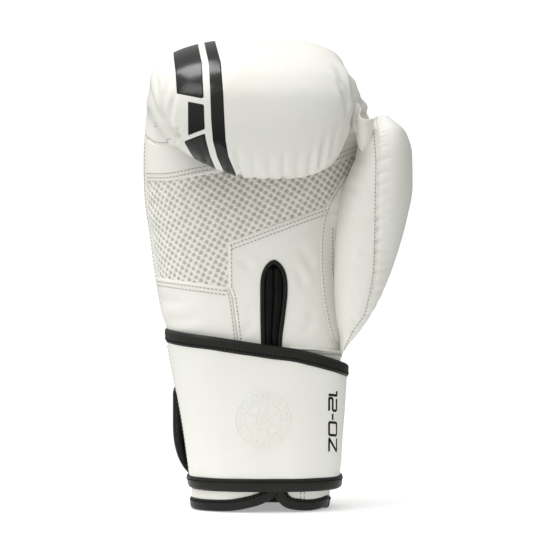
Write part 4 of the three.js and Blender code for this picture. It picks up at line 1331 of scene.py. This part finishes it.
def cuff_path(line, step=1.0):
    """A line of [degrees, height] on the cuff, with its outward directions."""
    scaled = np.array([(d * DEGREE, z) for d, z in line])
    p = resample(scaled, step)
    at, lift = cuff.wrap(p[:, 0] / DEGREE, p[:, 1]), 0.5
    around = cuff.wrap(p[:, 0] / DEGREE + lift, p[:, 1]) - cuff.wrap(p[:, 0] / DEGREE - lift, p[:, 1])
    up = cuff.wrap(p[:, 0] / DEGREE, p[:, 1] + lift) - cuff.wrap(p[:, 0] / DEGREE, p[:, 1] - lift)
    return at, unit(np.cross(around, up))


def curved(line, count=90):
    return [tuple(q) for q in catmull(line, np.linspace(0, 1, count))]


# Rim lines run with the panel on their inner side: towards smaller angles along the bottom.
BACK_RIM = [(189.0, 0.75), (140, 0.75), (90, 0.75), (40, 0.75), (-9.5, 0.8)]
PINKY_RIM = [(288.6, 96)] + curved([(288.6, 27), (288.2, 18), (285.4, 12.4), (279, 8.6), (268, 5.4),
                                    (256.7, 3.4), (239.7, 1.4), (217.6, 0.8), (205, 0.75), (187.5, 0.75)])
THUMB_RIM = curved([(352.5, 1.0), (344, 1.8), (334.7, 1.5), (316, 0.9), (298, 2.6), (290, 6.0),
                    (285.6, 10.6), (283.6, 17), (283.2, 27)]) + [(283.2, 96)]


def closed_outline(rim_line, base_range):
    """The panel inside a rim line, [arc, height], closed well above its seam and past its open sides."""
    line = [(d * DEGREE, z) for d, z in rim_line]
    first, last = (base_range[1] + 5) * DEGREE, (base_range[0] - 5) * DEGREE
    start = [(first, CLOSE_Z), (first, line[0][1])] if line[0][1] < LOW_Z else [(line[0][0], CLOSE_Z)]
    end = [(last, line[-1][1]), (last, CLOSE_Z)] if line[-1][1] < LOW_Z else [(line[-1][0], CLOSE_Z)]
    return start + line + end


def cuff_piece(name, rim_line, base_range, nodes, binding_node, body_name, blend_to=None, rows=(),
               lift=0.0):
    base = cuff_base(*base_range)
    lining = cuff_base(*base_range, offset=-CUFF_DEPTH + 0.6 + lift)
    outline = closed_outline(rim_line, base_range)
    made = []
    for kind, s, material, sign in (("leather", base, WHITE, 1), ("lining", lining, LINING, -1)):
        s = dict(s)
        s["edge"] = inside(np.stack([s["arc"], s["rise"]], 1), outline) - 1.5
        s = cut(s, "edge", 0.0, (0.4, 1.2))
        n = unit(s["N"])
        move = sign * rounded_edge(s["edge"], 1.4, 0.7)
        if sign > 0:
            quilt = 0.25 * np.sin(s["arc"] * 0.21 + 1) * np.sin(s["rise"] * 0.12)
            move = move + quilt - 1.6 * ease((s["rise"] - 92) / 6) + lift
        s["P"] = s["P"] + n * move[:, None]
        s = skirt(s, 2.2 * sign, n)
        if sign < 0:
            s["F"] = s["F"][:, ::-1]
        made.append(build(f"{name}_{kind}", s, material))
        face = s if sign > 0 else face
    points, out = cuff_path(rim_line)
    profile = np.array(rim_profile(CUFF_DEPTH - 1.2, 6.6))
    binding = skin(*tube(points + out * lift, out, profile))
    edge = build(f"{name}_binding_leather", binding, BLACK)
    across = np.cross(unit(np.gradient(points, axis=0)), out)
    row_line = points + across * 5.3 + out * (1.0 + lift)
    row = build(f"{name}_binding_stitches", skin(*thread(row_line, out, **BINDING_ROW, seed=51)),
                BLACK_THREAD)
    made += [edge, row]
    if rows:
        lines = [resample(line, 0.8) for line in rows]
        made.append(stitches(f"{name}_seam_stitches", Surface(face), lines, seed=53))
    stand_in(made[0], *nodes[:2])
    stand_in(made[1], nodes[2])
    stand_in(edge, binding_node)
    for obj in made:
        if blend_to:
            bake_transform(obj)
        else:
            ride_all(body_name, obj)
    return made


cuff_piece("cuff_back", BACK_RIM, (-9.5, 189.0), ("cuff_back_panel", "cuff_back_foam", "cuff_back_lining"),
           "cuff_back_binding", "hand_body")
cuff_piece("cuff_pinky_flap", PINKY_RIM, (186.5, 292.0),
           ("cuff_pinky_flap_panel", "cuff_pinky_flap_foam", "cuff_pinky_flap_lining"),
           "cuff_pinky_flap_binding", "cuff_pinky_flap", blend_to=True,
           rows=[[(x, 10), (x, 30)] for x in (-5.2, -2.8)], lift=0.45)
cuff_piece("cuff_thumb_flap", THUMB_RIM, (280.0, 353.5),
           ("cuff_thumb_flap_panel", "cuff_thumb_flap_foam", "cuff_thumb_flap_lining"),
           "cuff_thumb_flap_binding", "cuff_thumb_flap", blend_to=True,
           rows=[[(x, 7.6), (x, 30)] for x in (24.4, 26.8)], lift=-0.5)

# ------------------------------------------------------------------ wrist strap


def strap_place(turn, z):
    """Points on the strap's outer face; past TAB_START it leaves the wrist and flares to the tab's tip."""
    turn, z = np.broadcast_arrays(np.asarray(turn, float), np.asarray(z, float))
    ring = strap.wrap(np.minimum(turn, TAB_START), z)
    f = np.clip((turn - TAB_START) / (TAB_END - TAB_START), 0, 1)
    tip = np.stack([np.full_like(z, TAB_TIP[0]), np.full_like(z, TAB_TIP[1]), z], -1)
    knots = [strap.wrap(np.full_like(z, d), z) for d in TAB_WRAP] + [tip]
    first, last = 2 * knots[0] - knots[1], 2 * knots[-1] - knots[-2]
    p = np.stack([first, *knots, last])
    s = f * 3 - 1e-9
    i = np.clip(s.astype(int), 0, 2)
    s = (s - i)[..., None]
    a, b, c, d = (np.take_along_axis(p, np.broadcast_to((i + k)[None, ..., None], (1, *p.shape[1:])),
                                     0)[0] for k in range(4))
    tab = 0.5 * (2 * b + (c - a) * s + (2 * a - 5 * b + 4 * c - d) * s**2 + (3 * b - a - 3 * c + d) * s**3)
    return np.where((turn > TAB_START)[..., None], tab, ring)


def corner(y, on_tab, reach):
    """How far round a corner of the tab each place is: 0 before it, 1 at the tip."""
    past = np.clip((TAB_TIP[1] + reach - y) / reach, 0, 1)
    return 1 - np.sqrt(1 - np.where(on_tab, past, 0) ** 2)


def strap_limits(turn):
    """The middle height and half the width of the strap; the tab's lower corner is well rounded."""
    top = np.interp(turn, *np.array(STRAP_TOP).T)
    low = np.interp(turn, *np.array(STRAP_BOTTOM).T)
    y = strap_place(turn, (top + low) / 2)[..., 1]
    on_tab = np.asarray(turn) > TAB_START + 20
    low = low + TAB_CORNER[1] * corner(y, on_tab, TAB_CORNER[0])
    top = top - TAB_UPPER_CORNER * corner(y, on_tab, TAB_UPPER_CORNER)
    return (top + low) / 2, (top - low) / 2


def strap_grid(turns, shares):
    middle, half = strap_limits(turns)
    z = middle[None, :] + half[None, :] * np.asarray(shares)[:, None]
    grid = strap_place(np.broadcast_to(turns, z.shape), z)
    s = grid_skin(grid, turn=np.broadcast_to(turns, z.shape).copy())
    s["N"] = normals(s)
    return s


def smooth_top():
    """The upper edge's heights on a smooth curve."""
    t = [q[0] for q in STRAP_TOP]
    at = np.linspace(t[0], t[-1], 120)
    return list(zip(at, monotone(t, [q[1] for q in STRAP_TOP], at)))


STRAP_TOP = smooth_top()
SECTIONS = [
    ("strap_root", 171.5, 228.0, "hand_body", "strap_front", (-0.0632, 0.003, 0), (-0.0610, -0.010, 0)),
    ("strap_front", 228.0, 369.0, "strap_front", "strap_side", (0.0365, -0.0235, 0), (0.0430, -0.0045, 0)),
    ("strap_side", 369.0, 450.0, "strap_side", "strap_back", (0.0385, 0.0290, 0), (0.0200, 0.0440, 0)),
    ("strap_tab", 450.0, 600.0, "strap_back", "strap_tab", (-0.0428, 0.0374, 0), (-0.0545, 0.0255, 0)),
]
STRAP_NODES = {
    "strap_root": (["strap_anchor"], [], []),
    "strap_front": (["strap_front_panel"], ["strap_front_lining"],
                    ["strap_front_upper_binding", "strap_front_lower_binding"]),
    "strap_side": (["strap_side_panel", "strap_back_panel"], ["strap_side_lining", "strap_back_lining"], [
        "strap_side_upper_binding", "strap_side_lower_binding", "strap_back_upper_binding",
        "strap_back_lower_binding"]),
    "strap_tab": (["tab_panel"], ["tab_loop_patch"], ["tab_binding"]),
}
STRAP_DEPTH = 3.2
TAB_DEPTH = 2.3


def section_turns(low, high, step):
    base = np.linspace(low, min(high, TAB_START), max(3, int((min(high, TAB_START) - low) * 0.72 / step)))
    if high <= TAB_START:
        return base
    tail = np.linspace(0, 1, int(48 / step))[1:]
    return np.concatenate([base, TAB_START + (TAB_END - TAB_START) * np.sin(tail * math.pi / 2) ** 0.9])


def strap_depth(turn):
    return STRAP_DEPTH - (STRAP_DEPTH - TAB_DEPTH) * ease((turn - 480) / 20)


def strap_face(turns, shares):
    """The outer face with soft waves, and a small crease near the weight mark."""
    face = strap_grid(turns, shares)
    soft = 0.35 * np.sin(face["P"][:, 2] * 0.075 + 0.3) * np.sin(face["turn"] * 0.045)
    soft += 0.55 * np.sin(np.radians(face["turn"]) * 11 + 0.4 + face["P"][:, 2] * 0.012)
    crease = fold(face["P"], [(44, 30), (50, 24), (53, 20)], 0.25, 2.5, (0.3, 0.6), 0.1)
    face["P"] = face["P"] + face["N"] * (soft * 0.35 + crease)[:, None]
    return face


def strap_lines(turns, is_tab):
    """Where the bindings run: (kind, points, outward directions). The tab has one, round its tip."""
    edge = strap_grid(turns, [-1.0, -0.98, 0.98, 1.0])
    at, away = (edge[k].reshape(4, len(turns), 3) for k in ("P", "N"))
    upper = (at[3], away[2])
    lower = (at[0][::-1], away[1][::-1])
    if not is_tab:
        return [("upper", *upper), ("lower", *lower)]
    tip = strap_grid(turns[-3:], np.linspace(1, -1, 24))
    down = tip["P"].reshape(24, 3, 3)[1:-1, 2]
    tip_away = np.tile(upper[1][-2], (24, 1))
    return [("edge", np.vstack([upper[0], down, lower[0]]),
             np.vstack([upper[1][:-1], tip_away, lower[1][1:]]))]


def root_stitches():
    """Two rows down the strap's sewn end."""
    ends = []
    for turn in (173.5, 176.5):
        at = strap_place(np.full(100, turn), np.linspace(STRAP_BOTTOM[0][1] + 4, 104, 100))
        out = at * [1, 0, 0]
        ends.append(thread(at + out / 600, level_out(out), seed=73))
    return build("strap_root_stitches", skin(*merge(ends)), THREAD)


def strap_section(name, low, high, first, second, start, end):
    """One section: face, lining or pile, bindings and their stitches. Returns the face's skin."""
    is_tab = name == "strap_tab"
    step = 1.2
    turns = section_turns(low, high, step)
    shares = np.sin(np.linspace(-1, 1, int(90 / step)) * math.pi / 2 * 0.9)
    shares = shares / shares.max() * 0.985
    face = strap_face(turns, shares)
    outer_face = build(f"{name}_leather", face, WHITE_STRAP)
    under = strap_grid(turns, shares * 0.99)
    depth = strap_depth(under["turn"])
    fuzz = seeded(len(depth), 61) * 0.22 * is_tab * (under["turn"] > TAB_START - 20)
    under["P"] = under["P"] - under["N"] * (depth + fuzz)[:, None]
    under["F"] = under["F"][:, ::-1]
    under_name, under_look = ("loop_pile", PILE) if is_tab else ("lining", LINING)
    pieces = [outer_face, build(f"{name}_{under_name}", under, under_look)]
    profile = rim_profile(TAB_DEPTH if is_tab else STRAP_DEPTH, 7.4)
    for kind, p, n in strap_lines(turns, is_tab):
        both = resample(np.hstack([p, n]), 1.1)
        p, n = both[:, :3], level_out(both[:, 3:], 4)
        for _ in range(2 * is_tab):
            p[1:-1] = (p[:-2] + 2 * p[1:-1] + p[2:]) / 4
        binding = skin(*tube(p, n, profile, caps=is_tab))
        pieces.append(build(f"{name}_{kind}_binding_leather", binding, BLACK))
        inwards = np.cross(unit(np.gradient(p, axis=0)), n)
        row = thread(p + inwards * 5.6 + n * 0.98, n, **BINDING_ROW, seed=71)
        pieces.append(build(f"{name}_{kind}_binding_stitches", skin(*row), BLACK_THREAD))
    if name == "strap_root":
        pieces.append(root_stitches())
    for obj, nodes in zip(pieces, STRAP_NODES[name]):
        if nodes:
            stand_in(obj, *nodes)
    for obj in pieces:
        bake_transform(obj)
    return face


strap_faces = {section[0]: strap_section(*section) for section in SECTIONS}
strap_surface = Surface(strap_faces["strap_front"])

# The hook patch on the back of the cuff, which the tab sticks to.
hook = cuff_base(112, 171, offset=0.9)
hook["edge"] = inside(np.stack([hook["arc"], hook["rise"]], 1),
                      [(112 * DEGREE, 23), (170 * DEGREE, 23), (170 * DEGREE, 69), (112 * DEGREE, 69)])
hook = cut(hook, "edge", 0.0, (0.4,))
hook["P"] = hook["P"] + hook["N"] * seeded(len(hook["P"]), 83)[:, None] * 0.12
hook_obj = build("hook_patch_tape", skirt(hook, 1.0, hook["N"]), HOOK)
stand_in(hook_obj, "hook_patch")
ride_all("hand_body", hook_obj)

# ------------------------------------------------------------------ embossed ring and weight mark
RING = {"x": 0.6, "z": 58.6}


def ring_point(radius, turn):
    return np.stack([RING["x"] + radius * np.cos(turn), RING["z"] + radius * np.sin(turn)], -1)


def round_line(radius, step=1.2):
    return ring_point(radius, np.linspace(0, 2 * math.pi, max(4, int(2 * math.pi * radius / step))))


def ray(turn, low, high, count):
    return ring_point(np.linspace(low, high, count), math.radians(turn))


def ridge(line, width, height):
    points, out = strap_surface.seen(line)
    t = np.linspace(0, math.pi, 7)
    profile = np.vstack([np.stack([np.cos(t) * width / 2, np.sin(t) * height], 1),
                         [[-width / 2, -0.3], [width / 2, -0.3]]])
    return tube(points, level_out(out), profile)


# radius, width and height of each round ridge
CIRCLES = [(17.2, 1.0, 0.5), (11.4, 0.8, 0.42), (4.6, 1.0, 0.45)]
marks = [ridge(round_line(radius), width, height) for radius, width, height in CIRCLES]
marks.append(ridge(round_line(1.6, step=0.4), 1.2, 0.45))
for k in range(24):
    marks.append(ridge(ray(k * 15, *((13.2, 15.8) if k % 2 else (13.8, 15.2)), 4), 0.9, 0.42))
for k in range(8):
    marks.append(ridge(ray(k * 45 + 22.5, 6.2, 9.6, 6), 0.9, 0.42))
ring_obj = build("strap_embossed_ring", skin(*merge(marks)), WHITE_STRAP)
ride_all("strap_front", ring_obj)
stand_in(ring_obj, "strap_medallion")

# Strokes of "12-OZ", each glyph in a box one high with its width. The mark reads down the strap.
GLYPHS = [
    (0.62, [[(0.05, 0.95), (0.42, 0.95), (0.42, 0.0)]]),
    (1.28, [[(0.08, 0.93), (1.0, 0.93), (1.08, 0.86), (1.08, 0.55), (1.0, 0.48), (0.14, 0.48), (0.06, 0.4),
             (0.06, 0.06), (1.12, 0.06)]]),
    (0.72, [[(0.08, 0.48), (0.58, 0.48)]]),
    (1.34, [[(0.1, 0.06), (1.06, 0.06), (1.14, 0.14), (1.14, 0.86), (1.06, 0.94), (0.16, 0.94),
             (0.08, 0.86), (0.08, 0.14), (0.14, 0.06)]]),
    (1.3, [[(0.06, 0.94), (1.14, 0.94), (0.08, 0.06), (1.18, 0.06)]]),
]
MARK = {"top": 76.6, "length": 40.0, "x": 42.1, "height": 5.5, "stroke": 1.65, "slant": 0.9}


def weight_mark():
    parts = []
    scale = MARK["length"] / sum(w for w, _ in GLYPHS)
    start = 0.0
    for width, strokes in GLYPHS:
        for stroke in strokes:
            line = np.array([(MARK["x"] + MARK["height"] * v,
                              MARK["top"] - (start + u) * scale + MARK["slant"] * (0.5 - v)) for u,
                             v in stroke])
            dense = [line[0]]
            for a, b in zip(line[:-1], line[1:]):
                dense += list(resample([a, b], 0.5)[1:])
            points, out = strap_surface.seen(dense)
            half = MARK["stroke"] / 2
            profile = [(-half, 0.02), (-half * 0.9, 0.12), (half * 0.9, 0.12), (half, 0.02)]
            parts.append(tube(points, level_out(out, 1), profile))
        start += width
    return merge(parts)


mark_obj = build("weight_mark_ink", skin(*weight_mark()), INK)
ride_all("strap_front", mark_obj)

# ------------------------------------------------------------------ inside: linings and the grip bar
hollow = grid_skin(cavity.point(np.linspace(360, 0, 120)[None, :], np.linspace(90, 262, 110)[:, None]))
hollow_obj = build("hand_pocket_lining", hollow, LINING)
stand_in(hollow_obj, "hand_lining")
thumb_hollow_rows = [(150, 51, 72, -30, 1), (186, 56, 77.5, -32.5, 3.5), (206, 60, 80.5, -32.5, 3.5),
                     (222, 64, 80.5, -29, 0), (234, 68, 77, -22, -7)]
thumb_hollow = Loft(thumb_hollow_rows)
pocket = grid_skin(thumb_hollow.point(np.linspace(360, 0, 70)[None, :], np.linspace(150, 234, 60)[:, None]))
pocket_obj = build("thumb_pocket_lining", pocket, LINING)
stand_in(pocket_obj, "thumb_lining")
bar_line = np.stack([np.linspace(-39, 29, 40), np.full(40, -26.0), np.full(40, 237.0)], 1)
swell = 6.4 - 0.9 * np.abs(np.linspace(-1, 1, 40)) ** 6
bar_profile = circle(24)[None] * swell[:, None, None]
bar_obj = build("grip_bar_padding", skin(*tube(bar_line, np.tile([0, 0, 1.0], (40, 1)), bar_profile)), FOAM)
stand_in(bar_obj, "grip_bar")
ride_all("hand_body", hollow_obj, bar_obj)
ride_all("thumb", pocket_obj)

# ------------------------------------------------------------------ floor and light
BRIGHT_SIDE = Vector((-0.48, -0.42, 0.77)).normalized()
ROOM_LEVELS = [(0.0, 0.10), (0.3, 0.22), (0.55, 0.46), (1.0, 1.0)]
ROOM_STRENGTH = 1.07
floor_mesh = bpy.data.meshes.new("floor")
bm = bmesh.new()
bmesh.ops.create_grid(bm, x_segments=4, y_segments=4, size=0.3)
bm.to_mesh(floor_mesh)
bm.free()
floor_mesh.materials.append(make_floor())
floor_obj = link("floor", floor_mesh)

world = bpy.data.worlds.new("studio")
world.use_nodes = True
bpy.context.scene.world = world
tree = world.node_tree
soft = tree.nodes["Background"]
plain = tree.nodes.new("ShaderNodeBackground")
plain.inputs["Color"].default_value = (1, 1, 1, 1)
plain.inputs["Strength"].default_value = 1.1
# The room's light: brightest from the upper left in front, falling off to the lower right.
way = tree.nodes.new("ShaderNodeTexCoord").outputs["Generated"]
dot = tree.nodes.new("ShaderNodeVectorMath")
dot.operation = "DOT_PRODUCT"
dot.inputs[1].default_value = BRIGHT_SIDE
half = tree.nodes.new("ShaderNodeMath")
half.operation = "MULTIPLY_ADD"
half.inputs[1].default_value = 0.5
half.inputs[2].default_value = 0.5
room = tree.nodes.new("ShaderNodeValToRGB")
for at, level in ROOM_LEVELS[1:-1]:
    room.color_ramp.elements.new(at)
for element, (at, level) in zip(room.color_ramp.elements, ROOM_LEVELS):
    element.position = at
    element.color = (level, level, level * 0.985, 1)
tree.links.new(way, dot.inputs[0])
tree.links.new(dot.outputs["Value"], half.inputs[0])
tree.links.new(half.outputs[0], room.inputs["Fac"])
tree.links.new(room.outputs["Color"], soft.inputs["Color"])
soft.inputs["Strength"].default_value = ROOM_STRENGTH
rays = tree.nodes.new("ShaderNodeLightPath")
mix = tree.nodes.new("ShaderNodeMixShader")
tree.links.new(rays.outputs["Is Camera Ray"], mix.inputs["Fac"])
tree.links.new(soft.outputs["Background"], mix.inputs[1])
tree.links.new(plain.outputs["Background"], mix.inputs[2])
tree.links.new(mix.outputs["Shader"], tree.nodes["World Output"].inputs["Surface"])


def area_light(name, place, aim, size, power):
    data = bpy.data.lights.new(name, "AREA")
    data.shape = "RECTANGLE"
    data.size, data.size_y = size
    data.energy = power
    obj = bpy.data.objects.new(name, data)
    bpy.context.scene.collection.objects.link(obj)
    obj.location = place
    obj.rotation_euler = (Vector(aim) - Vector(place)).to_track_quat("-Z", "Y").to_euler()
    return obj


area_light("key", (-0.75, -0.85, 1.25), (0.0, 0.0, 0.17), (0.6, 0.5), 3.5)
area_light("side", (0.85, -0.25, 0.95), (0.05, 0.0, 0.2), (0.5, 0.5), 1.5)
area_light("top", (-0.42, -0.08, 1.35), (0.0, 0.0, 0.15), (0.5, 0.5), 7.0)

bpy.context.scene.view_settings.view_transform = "Standard"
bpy.context.scene.view_settings.look = "None"
bpy.context.scene.view_settings.exposure = 0.0
bpy.context.scene.view_settings.gamma = 1.0
